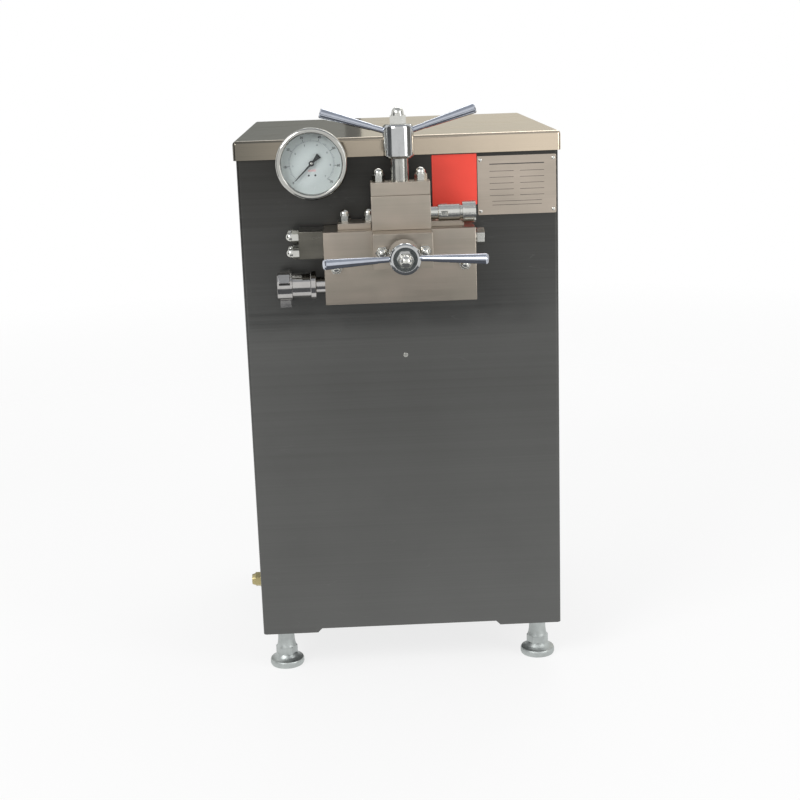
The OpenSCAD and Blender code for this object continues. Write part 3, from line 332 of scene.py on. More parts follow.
def maths(tree, operation, a, b=0.0, clamp=False):
    return add(tree, "ShaderNodeMath", {0: a, 1: b}, operation=operation, use_clamp=clamp).outputs[0]


def times(tree, a, b, clamp=False):
    return maths(tree, "MULTIPLY", a, b, clamp)


def plus(tree, a, b, clamp=False):
    return maths(tree, "ADD", a, b, clamp)


def shared(tree, a, b, share):
    """Sum of a by its share and b by the rest"""
    return plus(tree, times(tree, a, share), times(tree, b, 1.0 - share))


def span(tree, value, low, high, to_low=0.0, to_high=1.0):
    """Value between low and high, spread from to_low to to_high"""
    node = add(tree, "ShaderNodeMapRange", {
        "Value": value, "From Min": low, "From Max": high, "To Min": to_low, "To Max": to_high})
    return node.outputs["Result"]


def noise(tree, vector, scale, detail=3.0, rough=0.55):
    node = add(tree, "ShaderNodeTexNoise", {
        "Vector": vector, "Scale": scale, "Detail": detail, "Roughness": rough})
    return node.outputs["Fac"]


def tint(tree, factor, a, b):
    """Colour between a and b, each a socket or a plain colour"""
    a, b = [side if isinstance(side, bpy.types.NodeSocket) else (*side, 1.0) for side in (a, b)]
    return add(tree, "ShaderNodeMix", {0: factor, 6: a, 7: b}, data_type="RGBA").outputs[2]


def seen_ray(tree):
    """1 for what the camera, gloss and glass see"""
    path = add(tree, "ShaderNodeLightPath").outputs
    direct = maths(tree, "MAXIMUM", path["Is Camera Ray"], path["Is Glossy Ray"])
    return maths(tree, "MAXIMUM", direct, path["Is Transmission Ray"])


def open_tree(name, kind, inputs, outputs):
    """Empty node group with named sockets, and the sockets of its two end nodes"""
    tree = bpy.data.node_groups.new(name, kind)
    for label, form, value in inputs:
        socket = tree.interface.new_socket(name=label, in_out="INPUT", socket_type="NodeSocket" + form)
        if value is not None:
            socket.default_value = value
    for label, form in outputs:
        tree.interface.new_socket(name=label, in_out="OUTPUT", socket_type="NodeSocket" + form)
    return tree, tree.nodes.new("NodeGroupInput").outputs, tree.nodes.new("NodeGroupOutput").inputs


def shader_group(name, inputs, outputs):
    return open_tree(name, "ShaderNodeTree", inputs, [(label, "Float") for label in outputs])


def build_brushed_grain():
    """Fine lines left by a brush or grinding belt, with broader streaks and slow tone changes"""
    tree, given, put = shader_group("brushed_grain", [
        ("Stretched", "Vector", None), ("Place", "Vector", None),
        ("Fine", "Float", 1.0), ("Cloud", "Float", 5.0)], ["Line", "Tone"])
    streak_scale = 0.16
    fine = noise(tree, given["Stretched"], given["Fine"], detail=5.0, rough=0.7)
    broad = noise(tree, given["Stretched"], times(tree, given["Fine"], streak_scale))
    cloud = noise(tree, given["Place"], given["Cloud"], detail=2.0)
    line = shared(tree, fine, broad, 0.6)
    tree.links.new(span(tree, line, 0.3, 0.7), put["Line"])
    tone = shared(tree, line, cloud, 0.55)
    tree.links.new(span(tree, tone, 0.32, 0.68), put["Tone"])


def build_handling_marks():
    """Soft patches where hands and cloths have been, and thin stray scratches"""
    tree, given, put = shader_group("handling_marks", [
        ("Place", "Vector", None), ("Patch", "Float", 14.0), ("Scratch", "Float", 60.0)],
        ["Smudge", "Scratches"])
    scratch_width = 0.006
    patch = noise(tree, given["Place"], given["Patch"], detail=4.0, rough=0.6)
    tree.links.new(span(tree, patch, 0.5, 0.72), put["Smudge"])
    bent = add(tree, "ShaderNodeMapping", {
        "Vector": given["Place"], "Rotation": (0.5, 0.9, 0.35), "Scale": (0.12, 1.0, 1.0)}).outputs[0]
    cut = noise(tree, bent, given["Scratch"], detail=1.0, rough=0.4)
    edge = maths(tree, "ABSOLUTE", maths(tree, "SUBTRACT", cut, 0.5))
    thin = span(tree, edge, 0.0, scratch_width, 1.0, 0.0)
    here = span(tree, noise(tree, given["Place"], 9.0, detail=1.0), 0.55, 0.7)
    tree.links.new(times(tree, thin, here), put["Scratches"])


def build_settled_dust():
    """Thin film on what faces upwards"""
    tree, given, put = shader_group("settled_dust", [
        ("Place", "Vector", None), ("Amount", "Float", 0.2)], ["Film"])
    normal = add(tree, "ShaderNodeNewGeometry").outputs["Normal"]
    up = add(tree, "ShaderNodeSeparateXYZ", {0: normal}).outputs[2]
    cloud = span(tree, noise(tree, given["Place"], 22.0, detail=5.0, rough=0.65), 0.35, 0.75)
    film = times(tree, span(tree, up, 0.55, 0.95), cloud)
    tree.links.new(times(tree, film, given["Amount"], clamp=True), put["Film"])


def build_cast_skin():
    """Orange-peel and pits of painted castings"""
    tree, given, put = shader_group("cast_skin", [
        ("Place", "Vector", None), ("Grain", "Float", 350.0)], ["Height", "Tone"])
    pit_scale = times(tree, given["Grain"], 0.4)
    peel = noise(tree, given["Place"], given["Grain"], detail=2.0)
    pits = add(tree, "ShaderNodeTexVoronoi", {"Vector": given["Place"], "Scale": pit_scale})
    depth = span(tree, pits.outputs["Distance"], 0.0, 0.25)
    tree.links.new(plus(tree, peel, times(tree, depth, 0.35)), put["Height"])
    tone = noise(tree, given["Place"], 9.0, detail=4.0)
    tree.links.new(span(tree, tone, 0.3, 0.7), put["Tone"])


def blank_material(name):
    """Material with an empty tree"""
    material = bpy.data.materials.new(name)
    material.use_nodes = True
    material.node_tree.nodes.clear()
    return material, material.node_tree


def object_place(tree):
    return add(tree, "ShaderNodeTexCoord").outputs["Object"]


def surface(tree, inputs):
    """Principled shader with its inputs, as what the material shows"""
    shader = add(tree, "ShaderNodeBsdfPrincipled", inputs)
    add(tree, "ShaderNodeOutputMaterial", {"Surface": shader.outputs[0]})


def group_node(tree, name, inputs):
    return add(tree, "ShaderNodeGroup", inputs, node_tree=bpy.data.node_groups[name]).outputs


def bumped(tree, height, strength, distance):
    node = add(tree, "ShaderNodeBump", {"Height": height, "Strength": strength, "Distance": distance})
    return node.outputs[0]


def faded(tree, place, tone, axis, contrast, stretches):
    """Painted light and shade: tone of less contrast that grows along an axis, by a share over each stretch
    """
    along = add(tree, "ShaderNodeSeparateXYZ", {0: place}).outputs[axis]
    tone = times(tree, maths(tree, "SUBTRACT", tone, 0.5), contrast)
    for start, end, share in stretches:
        tone = plus(tree, tone, span(tree, along, start, end, 0.0, share))
    return plus(tree, tone, 0.0, clamp=True)


def steel(name, dark, light, stretch, rough, fine=1.0, cloud=5.0, depth=0.08, smudge=0.10,
          dust=0.15, scratch=0.12, fade=None):
    """Bare metal: brushed, ground or polished by how its grain is stretched"""
    material, tree = blank_material(name)
    place = object_place(tree)
    drawn = add(tree, "ShaderNodeMapping", {"Vector": place, "Scale": stretch}).outputs[0]
    grain = group_node(tree, "brushed_grain", {
        "Stretched": drawn, "Place": place, "Fine": fine, "Cloud": cloud})
    marks = group_node(tree, "handling_marks", {"Place": place})
    film = group_node(tree, "settled_dust", {"Place": place, "Amount": dust})["Film"]
    # A fade, where given, paints light and shade along one axis of the metal
    tone = faded(tree, place, grain["Tone"], *fade) if fade else grain["Tone"]
    factor, step = SCRATCH_LIFT
    pale = tuple(min(1.0, channel * factor + step) for channel in light)
    colour = tint(tree, tone, dark, light)
    colour = tint(tree, times(tree, marks["Scratches"], scratch), colour, pale)
    colour = tint(tree, film, colour, DUST_TONE)
    gloss = span(tree, grain["Line"], 0.0, 1.0, *rough)
    gloss = plus(tree, gloss, times(tree, marks["Smudge"], smudge))
    gloss = plus(tree, gloss, times(tree, film, DUST_DULLS), clamp=True)
    normal = bumped(tree, grain["Line"], depth, GRAIN_HEIGHT)
    surface(tree, {"Base Color": colour, "Roughness": gloss, "Normal": normal, "Metallic": 1.0})
    return material


def coat(name, dark, light, rough, grain=350.0, depth=0.15, dust=0.25, specular=0.5):
    """Paint, plastic or rubber with a fine skin"""
    material, tree = blank_material(name)
    place = object_place(tree)
    skin = group_node(tree, "cast_skin", {"Place": place, "Grain": grain})
    marks = group_node(tree, "handling_marks", {"Place": place})
    film = group_node(tree, "settled_dust", {"Place": place, "Amount": dust})["Film"]
    colour = tint(tree, film, tint(tree, skin["Tone"], dark, light), DUST_TONE)
    gloss = span(tree, skin["Tone"], 0.0, 1.0, *rough)
    gloss = plus(tree, gloss, times(tree, marks["Smudge"], COAT_SMUDGE), clamp=True)
    normal = bumped(tree, skin["Height"], depth, SKIN_HEIGHT)
    surface(tree, {
        "Base Color": colour, "Roughness": gloss, "Normal": normal, "Specular IOR Level": specular})
    return material


def clear_lens():
    """Gauge glass with a few finger marks"""
    material, tree = blank_material("lens_glass")
    marks = group_node(tree, "handling_marks", {"Place": object_place(tree), "Patch": 30.0})
    gloss = span(tree, marks["Smudge"], 0.0, 1.0, 0.01, 0.07)
    surface(tree, {
        "Base Color": (0.97, 0.99, 0.985, 1.0), "Roughness": gloss, "Transmission Weight": 1.0, "IOR": 1.3})
    return material


def scaled(colour, factor):
    return tuple(min(1.0, channel * factor) for channel in colour)


def build_metals(tone):
    """Bare metals by slot or finish"""
    level = (1.2, 1.2, 420.0)
    along_lid = (1.0, 1100.0, 1100.0)
    ground = (9.0, 260.0, 260.0)
    polish = (120.0, 120.0, 120.0)
    mirror = {"cloud": 30.0, "depth": 0.01, "dust": 0.05}
    return {
        # Brushed panel: darker towards the top as painted shade under the lid and pump, lighter lower down as
        # a painted reflection of the floor
        "panel_steel": steel(
            "brushed_panel", tone.panel_dark, tone.panel_light, level, (0.30, 0.46), cloud=3.0, depth=0.06,
            fade=(2, 0.3, ((0.88, 0.60, 0.60), (0.58, 0.08, 0.18)))),
        # Satin lid: darker on the left and lighter on the right, a painted reflection of its surroundings
        "lid_steel": steel(
            "satin_lid", tone.lid_dark, tone.lid_light, along_lid, (0.10, 0.15), cloud=4.0, depth=0.012,
            smudge=0.05, dust=0.0, scratch=0.05, fade=(0, 0.14, ((-0.25, 0.22, 0.88),))),
        "block_steel": steel(
            "ground_block", tone.block_dark, tone.block_light, ground, (0.26, 0.40), cloud=18.0,
            depth=0.10, dust=0.08),
        # The cap's steel is painted very dark: a painted reflection of the dark ground before its polished
        # face
        "dark_steel": steel(
            "polished_cap", (0.10, 0.097, 0.082), (0.19, 0.18, 0.155), (9.0, 200.0, 200.0),
            (0.18, 0.28), cloud=24.0, depth=0.05),
        "handle_chrome": steel(
            "blue_chrome", scaled(tone.chrome, 0.82), tone.chrome, polish, (0.07, 0.13), **mirror),
        "hub_chrome": steel(
            "hub_chrome", scaled(tone.hub, 0.82), tone.hub, polish, (0.07, 0.13), **mirror),
        "union_steel": steel(
            "union_steel", scaled(tone.union, 0.80), tone.union, polish, (0.08, 0.15), **mirror),
        "bright_steel": steel(
            "bright_turned", scaled(tone.bright, 0.85), tone.bright, polish, (0.10, 0.20),
            cloud=40.0, depth=0.02, dust=0.05),
        # A darker copy of the bright steel for the adjusting screws, the pivot cap and the panel screw; on
        # the adjusting screws the darkness is partly the screws' own duller tone and partly painted shade
        # under the hubs
        "stem_steel": steel(
            "stem_steel", scaled(tone.bright, 0.46), scaled(tone.bright, 0.62), (500.0, 500.0, 30.0),
            (0.12, 0.24), cloud=60.0, depth=0.06, dust=0.0),
        # The bezel's steel is a darker copy of the bright steel; the darkness is a painted reflection of dark
        # surroundings in its rolled face
        "bezel_steel": steel(
            "rolled_bezel", scaled(tone.bright, 0.58), scaled(tone.bright, 0.74), polish, (0.08, 0.16),
            cloud=40.0, depth=0.02, dust=0.0),
        "zinc": steel(
            "zinc_plate", scaled(tone.zinc, 0.78), scaled(tone.zinc, 1.1), (90.0, 90.0, 90.0),
            (0.36, 0.52), fine=2.0, cloud=45.0, depth=0.10, dust=0.25),
        "brass": steel(
            "plain_brass", scaled(tone.brass, 0.75), tone.brass, (60.0, 60.0, 60.0), (0.22, 0.36),
            cloud=50.0, depth=0.04),
        "iron": steel(
            "machined_iron", (0.09, 0.095, 0.10), (0.17, 0.175, 0.18), (60.0, 240.0, 240.0),
            (0.40, 0.55), cloud=25.0, depth=0.15, dust=0.35),
        "rating_plate": steel(
            "satin_plate", (0.42, 0.37, 0.31), (0.52, 0.45, 0.38), (4.0, 200.0, 500.0), (0.28, 0.40),
            cloud=20.0, depth=0.04),
    }


def build_coats(tone):
    """Paints, plastics, rubber and inks by slot or finish"""
    return {
        "frame_paint": coat("frame_primer", (0.050, 0.053, 0.057), (0.078, 0.082, 0.086), (0.48, 0.62)),
        "cast_paint": coat(
            "casting_paint", (0.075, 0.105, 0.092), (0.118, 0.15, 0.135), (0.38, 0.52),
            grain=220.0, depth=0.35),
        "motor_paint": coat(
            "motor_paint", (0.030, 0.075, 0.15), (0.050, 0.11, 0.20), (0.32, 0.46), grain=260.0, depth=0.25),
        "packing": coat(
            "packing_cord", (0.52, 0.46, 0.30), (0.68, 0.62, 0.43), (0.6, 0.8),
            grain=900.0, depth=0.5, dust=0.0),
        "belt": coat(
            "belt_rubber", (0.012, 0.012, 0.013), (0.028, 0.028, 0.030), (0.6, 0.8), grain=700.0, depth=0.4),
        "black_plastic": coat(
            "gland_plastic", (0.013, 0.013, 0.015), (0.026, 0.026, 0.029), (0.42, 0.55),
            grain=800.0, depth=0.2),
        "dial_white": coat(
            "dial_enamel", scaled(tone.dial, 0.97), scaled(tone.dial, 1.03), (0.40, 0.50),
            grain=500.0, depth=0.02, dust=0.0),
        "needle_black": coat(
            "needle_lacquer", (0.010, 0.011, 0.012), (0.018, 0.019, 0.020), (0.35, 0.45),
            grain=600.0, depth=0.05, dust=0.0, specular=0.12),
        "red_plate": coat(
            "red_enamel", scaled(tone.red_plate, 0.95), scaled(tone.red_plate, 1.04), (0.30, 0.42),
            grain=260.0, depth=0.03, dust=0.0),
        "plate_ink": coat(
            "plate_ink", (0.045, 0.042, 0.04), (0.075, 0.07, 0.065), (0.5, 0.6),
            grain=900.0, depth=0.05, dust=0.0),
        "red_mark": coat(
            "dial_red", (0.44, 0.15, 0.16), (0.52, 0.20, 0.20), (0.5, 0.6),
            grain=900.0, depth=0.02, dust=0.0),
    }


FINISH = {}


def finish(slot):
    """Material of a slot, all of them built at the first call"""
    if not FINISH:
        for build in (build_brushed_grain, build_handling_marks, build_settled_dust, build_cast_skin):
            build()
        tone = bpy.context.scene.homogenizer_finish
        FINISH.update(build_metals(tone))
        FINISH.update(build_coats(tone))
        FINISH["lens"] = clear_lens()
    return FINISH[slot]


# Meshes


def linked(name, data):
    """New object in the scene"""
    obj = bpy.data.objects.new(name, data)
    bpy.context.scene.collection.objects.link(obj)
    return obj


def whole_object(name, mesh, body, slot=None, material=None):
    """Shown object at the origin that rides on a body, where one is given"""
    piece = linked(name, mesh)
    mesh.materials.clear()
    mesh.materials.append(finish(material or slot))
    if body:
        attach(piece, body)
    return piece


def dress(nodes):
    """Gives CAD nodes the finish of their slot"""
    for node in nodes:
        data = NODES[node].data
        data.materials.clear()
        data.materials.append(finish(SLOT_OF[node]))


def mesh_from(bm, name):
    """Plain mesh of a finished bmesh"""
    mesh = bpy.data.meshes.new(name)
    bm.to_mesh(mesh)
    bm.free()
    return mesh


def evaluated_mesh(maker):
    """Plain mesh of an object as its modifiers leave it"""
    depsgraph = bpy.context.evaluated_depsgraph_get()
    return bpy.data.meshes.new_from_object(maker.evaluated_get(depsgraph), depsgraph=depsgraph)


def smooth_faces(mesh, crease):
    """Smooth faces, with sharp edges past the crease angle in degrees"""
    mesh.polygons.foreach_set("use_smooth", [True] * len(mesh.polygons))
    mesh.set_sharp_from_angle(angle=math.radians(crease))


def outer_edges(bm, low, high):
    """Edges of the block's own box, not those of its bores"""
    near = 1e-5
    walls = [(axis, corner[axis]) for axis in range(3) for corner in (low, high)]

    def on_wall(edge, axis, place):
        return all(abs(vert.co[axis] - place) < near for vert in edge.verts)

    return [edge for edge in bm.edges if sum(on_wall(edge, *wall) for wall in walls) >= 2]


def bevelled(piece, width, segments, angle, by_weight=False):
    """Rounds the edges past an angle in degrees, or those that carry a weight"""
    bevel = piece.modifiers.new("edge", "BEVEL")
    bevel.width = width
    bevel.segments = segments
    bevel.limit_method = "WEIGHT" if by_weight else "ANGLE"
    bevel.angle_limit = math.radians(angle)


def rounded_copy(node, width, segments=2, angle=35.0, box_only=False, material=None, crease=30.0):
    """Merged copy of a CAD node with rounded edges, which stands for it"""
    merge_distance = 2e-6
    flat_angle = math.radians(0.2)
    mesh = NODES[node].data.copy()
    mesh.name = node + "_rounded"
    bm = bmesh.new()
    bm.from_mesh(mesh)
    bmesh.ops.remove_doubles(bm, verts=bm.verts, dist=merge_distance)
    bmesh.ops.dissolve_limit(bm, angle_limit=flat_angle, verts=bm.verts, edges=bm.edges)
    if box_only:
        low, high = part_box(node)
        weights = bm.edges.layers.float.new("bevel_weight_edge")
        for edge in outer_edges(bm, low, high):
            edge[weights] = 1.0
    bm.to_mesh(mesh)
    bm.free()
    if "custom_normal" in mesh.attributes:
        mesh.attributes.remove(mesh.attributes["custom_normal"])
    smooth_faces(mesh, crease)
    piece = whole_object(node + "_rounded", mesh, BODY_OF[node], SLOT_OF[node], material)
    bevelled(piece, width, segments, angle, by_weight=box_only)
    level = piece.modifiers.new("flats", "WEIGHTED_NORMAL")
    level.keep_sharp = True
    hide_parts(node)


def live_spring(node, axis, base, free):
    """Still copy of a disc spring that stands for it"""
    low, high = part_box(node)
    start = (low + high) / 2
    end = start.copy()
    start[axis] = base
    end[axis] = free
    spring = whole_object(node + "_live", NODES[node].data.copy(), None, SLOT_OF[node])
    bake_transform(spring)
    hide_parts(node)


def closed_between(name, near, far):
    """Closed mesh between two rings of as many points"""
    bm = bmesh.new()
    front = [bm.verts.new(point) for point in near]
    back = [bm.verts.new(point) for point in far]
    bm.faces.new(front)
    bm.faces.new(list(reversed(back)))
    for here in range(len(front)):
        there = (here + 1) % len(front)
        bm.faces.new((front[here], back[here], back[there], front[there]))
    bmesh.ops.recalc_face_normals(bm, faces=bm.faces)
    return mesh_from(bm, name)


def plate_mesh(name, edges, corner, y_front, y_back):
    """Flat plate with rounded corners, standing on the front panel"""
    left, right, low, high = edges
    points = []
    for cx, cz, start in ((right - corner, high - corner, 0), (left + corner, high - corner, 90),
                          (left + corner, low + corner, 180), (right - corner, low + corner, 270)):
        for step in range(CORNER_STEPS + 1):
            turn = math.radians(start + 90 * step / CORNER_STEPS)
            points.append((cx + corner * math.cos(turn), cz + corner * math.sin(turn)))
    return closed_between(name, [(x, y_front, z) for x, z in points], [(x, y_back, z) for x, z in points])


def lathe_mesh(name, profile):
    """Round piece about y: profile of (radius, y) from the axis out and back to it"""
    turns = [math.tau * k / TURNED_STEPS for k in range(TURNED_STEPS)]
    bm = bmesh.new()
    rings = []
    for radius, y in profile:
        around = turns if radius > 0.0 else [0.0]
        rings.append([bm.verts.new((radius * math.cos(turn), y, radius * math.sin(turn))) for turn in around])
    for a, b in zip(rings, rings[1:]):
        for k in range(TURNED_STEPS):
            m = (k + 1) % TURNED_STEPS
            corners = [a[k % len(a)], a[m % len(a)], b[m % len(b)], b[k % len(b)]]
            corners = list(dict.fromkeys(corners))
            if len(corners) > 2:
                bm.faces.new(corners)
    bmesh.ops.recalc_face_normals(bm, faces=bm.faces)
    mesh = mesh_from(bm, name)
    smooth_faces(mesh, TURNED_CREASE)
    return mesh


def cross_cutter(arm, half, near, far):
    """Tapered cross along y that cuts a recess"""
    corners = []
    for turn in range(4):
        c, s = math.cos(turn * math.pi / 2), math.sin(turn * math.pi / 2)
        for x, z in ((arm, -half), (arm, half), (half, half)):
            corners.append((x * c - z * s, x * s + z * c))
    inner = [(x * RECESS_TAPER, far, z * RECESS_TAPER) for x, z in corners]
    return closed_between("cross_cutter", [(x, near, z) for x, z in corners], inner)


def head_mesh(name, diameter, height):
    """Plain domed head pointing to -y"""
    radius = diameter / 2
    profile = [(0.0, -height)]
    for step in range(1, DOME_STEPS + 1):
        turn = math.pi / 2 * step / DOME_STEPS
        rise = RIM_SHARE + (1.0 - RIM_SHARE) * math.cos(turn)
        profile.append((radius * math.sin(turn), -height * rise))
    return lathe_mesh(name, profile + [(radius, 0.0), (0.0, 0.0)])


def screw_head_mesh(name, diameter, height):
    """Domed head pointing to -y with a cross recess"""
    head = linked("head", head_mesh(name, diameter, height))
    cutter = linked("cutter", cross_cutter(
        diameter * RECESS_ARM, diameter * RECESS_HALF, -height * RECESS_TOP, -height * RECESS_FLOOR))
    recess = head.modifiers.new("recess", "BOOLEAN")
    recess.operation = "DIFFERENCE"
    recess.solver = "EXACT"
    recess.object = cutter
    mesh = evaluated_mesh(head)
    for maker in (head, cutter):
        bpy.data.objects.remove(maker, do_unlink=True)
    mesh.set_sharp_from_angle(angle=math.radians(TURNED_CREASE))
    return mesh


# Geometry node trees


def geometry_tree(name, inputs):
    return open_tree(name, "GeometryNodeTree", inputs, [("Geometry", "Geometry")])


def close_tree(tree, given, put, points, shape, rotation=(0.0, 0.0, 0.0)):
    """Copies of a shape on points, then Realize Instances and Set Material at the tree's end"""
    copies = add(tree, "GeometryNodeInstanceOnPoints", {
        "Points": points, "Instance": shape, "Rotation": rotation})
    real = add(tree, "GeometryNodeRealizeInstances", {"Geometry": copies.outputs["Instances"]})
    done = add(tree, "GeometryNodeSetMaterial", {
        "Geometry": real.outputs[0], "Material": given["Material"]})
    tree.links.new(done.outputs[0], put["Geometry"])
    return tree


def build_arc_bars():
    """Bars spread along an arc, each pointing to its centre"""
    tree, given, put = geometry_tree("arc_bars", [
        ("Count", "Int", 8), ("Radius", "Float", 0.03), ("Start", "Float", 0.0), ("Sweep", "Float", 1.0),
        ("Bar", "Vector", None), ("Material", "Material", None)])
    arc = add(tree, "GeometryNodeCurveArc", {
        "Resolution": given["Count"], "Radius": given["Radius"],
        "Start Angle": given["Start"], "Sweep Angle": given["Sweep"]}, mode="RADIUS")
    points = add(tree, "GeometryNodeCurveToPoints", {"Curve": arc.outputs["Curve"]}, mode="EVALUATED").outputs
    bar = add(tree, "GeometryNodeMeshCube", {"Size": given["Bar"]})
    return close_tree(tree, given, put, points["Points"], bar.outputs["Mesh"], points["Rotation"])


def build_head_grid():
    """Copies of one head at the points of a grid"""
    tree, given, put = geometry_tree("head_grid", [
        ("Head", "Object", None), ("Width", "Float", 0.1), ("Height", "Float", 0.1),
        ("Columns", "Int", 2), ("Rows", "Int", 2), ("Material", "Material", None)])
    grid = add(tree, "GeometryNodeMeshGrid", {
        "Size X": given["Width"], "Size Y": given["Height"],
        "Vertices X": given["Columns"], "Vertices Y": given["Rows"]})
    head = add(tree, "GeometryNodeObjectInfo", {"Object": given["Head"]})
    return close_tree(tree, given, put, grid.outputs["Mesh"], head.outputs["Geometry"])


def build_ruled_rows():
    """Rows of one bar, evenly spaced downwards"""
    tree, given, put = geometry_tree("ruled_rows", [
        ("Count", "Int", 5), ("Pitch", "Vector", None), ("Bar", "Vector", None),
        ("Material", "Material", None)])
    rows = add(tree, "GeometryNodeMeshLine", {"Count": given["Count"], "Offset": given["Pitch"]})
    bar = add(tree, "GeometryNodeMeshCube", {"Size": given["Bar"]})
    return close_tree(tree, given, put, rows.outputs["Mesh"], bar.outputs["Mesh"])


TREES = {}


def grown(build, values, move):
    """Plain mesh of a tree's result, moved to its place"""
    if build not in TREES:
        TREES[build] = build()
    tree = TREES[build]
    maker = linked("maker", bpy.data.meshes.new("maker"))
    modifier = maker.modifiers.new("rule", "NODES")
    modifier.node_group = tree
    for item in tree.interface.items_tree:
        if item.in_out == "INPUT" and item.name in values:
            modifier[item.identifier] = values[item.name]
    mesh = evaluated_mesh(maker)
    maker.modifiers.remove(modifier)
    bpy.data.objects.remove(maker, do_unlink=True)
    mesh.transform(move)
    return mesh


def text_mesh(words, height, thickness, move):
    """Plain numbers as a thin solid"""
    curve = bpy.data.curves.new("number", "FONT")
    curve.body = words
    curve.size = height
    curve.extrude = thickness / 2
    curve.offset = height * NUMBER_WEIGHT
    curve.align_x = "CENTER"
    curve.align_y = "CENTER"
    maker = linked("number", curve)
    mesh = evaluated_mesh(maker)
    bpy.data.objects.remove(maker, do_unlink=True)
    bpy.data.curves.remove(curve)
    mesh.transform(move)
    return mesh


def joined(name, meshes):
    """One mesh from several"""
    merge_distance = 1e-7
    bm = bmesh.new()
    for mesh in meshes:
        bm.from_mesh(mesh)
        bpy.data.meshes.remove(mesh)
    bmesh.ops.remove_doubles(bm, verts=bm.verts, dist=merge_distance)
    return mesh_from(bm, name)


# Stands a flat drawing (x right, y up, z towards the viewer) against the front
UPRIGHT = Matrix.Rotation(math.radians(90), 4, "X")


def on_front(x, y, z):
    return Matrix.Translation((x, y, z)) @ UPRIGHT


def grid_of(head, width, height, columns, rows, move):
    """Bright heads that point to -y at the points of an upright grid"""
    head.transform(UPRIGHT.inverted())
    maker = linked("head", head)
    mesh = grown(build_head_grid, {
        "Head": maker, "Width": width, "Height": height, "Columns": columns, "Rows": rows,
        "Material": finish("bright_steel")}, move @ UPRIGHT)
    bpy.data.objects.remove(maker, do_unlink=True)
    return mesh


# Operators


class HOMOGENIZER_OT_cabinet(bpy.types.Operator):
    """Brushes the sheet panels and the lid and rounds their edges"""

    bl_idname = "homogenizer.cabinet"
    bl_label = "Cabinet Sheets"

    def execute(self, context):
        for node in ("front_panel", "side_panels", "rear_panel", "lid"):
            rounded_copy(node, edges_of().sheet)
        dress(["frame"])
        return {"FINISHED"}


class HOMOGENIZER_OT_feet(bpy.types.Operator):
    """Rounds and plates the four levelling feet"""

    bl_idname = "homogenizer.feet"
    bl_label = "Levelling Feet"

    def execute(self, context):
        for end in ("front", "rear"):
            for side in ("left", "right"):
                rounded_copy(f"foot_{end}_{side}", edges_of().foot, segments=3)
        return {"FINISHED"}


class HOMOGENIZER_OT_pump(bpy.types.Operator):
    """Grinds the pump block, its covers, cap, plug and nuts"""

    bl_idname = "homogenizer.pump"
    bl_label = "Pump Block"

    def execute(self, context):
        rounded_copy("pump_block", edges_of().block, box_only=True)
        rounded_copy("valve_covers", edges_of().block)
        rounded_copy("end_cap", edges_of().block, box_only=True)
        for node in ("hex_plug", "cap_nuts"):
            rounded_copy(node, edges_of().turned)
        dress(["suction_balls", "discharge_balls", "packings"])
        return {"FINISHED"}


class HOMOGENIZER_OT_valves(bpy.types.Operator):
    """Grinds the pressure valves' bodies and bonnets and fits their springs"""

    bl_idname = "homogenizer.valves"
    bl_label = "Pressure Valves"

    def execute(self, context):
        for node in ("top_valve_body", "top_bonnet", "front_bonnet"):
            rounded_copy(node, edges_of().block, box_only=True)
        dress(["valve_seats", "valve_cores", "top_spring_plate", "front_spring_plate"])
        low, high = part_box("top_spring")
        live_spring("top_spring", 2, low.z, high.z)
        low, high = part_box("front_spring")
        live_spring("front_spring", 1, high.y, low.y)
        return {"FINISHED"}


class HOMOGENIZER_OT_handles(bpy.types.Operator):
    """Chromes the hubs, levers and hub nuts and turns the adjusting screws"""

    bl_idname = "homogenizer.handles"
    bl_label = "Lever Handles"

    def execute(self, context):
        for end in ("top", "front"):
            for node in ("levers", "hub_nut"):
                rounded_copy(f"{end}_{node}", edges_of().turned)
            rounded_copy(f"{end}_hub", edges_of().turned, material="hub_chrome")
            rounded_copy(f"{end}_screw", edges_of().turned, material="stem_steel")
        return {"FINISHED"}


class HOMOGENIZER_OT_unions(bpy.types.Operator):
    """Polishes the inlet and outlet unions and finishes the drain and gland"""

    bl_idname = "homogenizer.unions"
    bl_label = "Unions"

    def execute(self, context):
        for piece in ("liner", "union_nut"):
            rounded_copy(f"inlet_{piece}", edges_of().turned, material="union_steel")
            rounded_copy(f"outlet_{piece}", edges_of().turned, material="bright_steel")
        for node in ("oil_drain", "cable_gland"):
            rounded_copy(node, edges_of().turned)
        return {"FINISHED"}


class HOMOGENIZER_OT_gauge(bpy.types.Operator):
    """Finishes the gauge's case, bezel, glass, dial and needle"""

    bl_idname = "homogenizer.gauge"
    bl_label = "Pressure Gauge"

    def execute(self, context):
        rounded_copy("gauge_case", edges_of().turned)
        rounded_copy("gauge_bezel", edges_of().bezel, segments=4, angle=15.0, material="bezel_steel",
                     crease=80.0)
        dress(["gauge_dial", "gauge_glass", "gauge_needle", "gauge_line"])
        NODES["gauge_glass"].visible_shadow = False
        return {"FINISHED"}


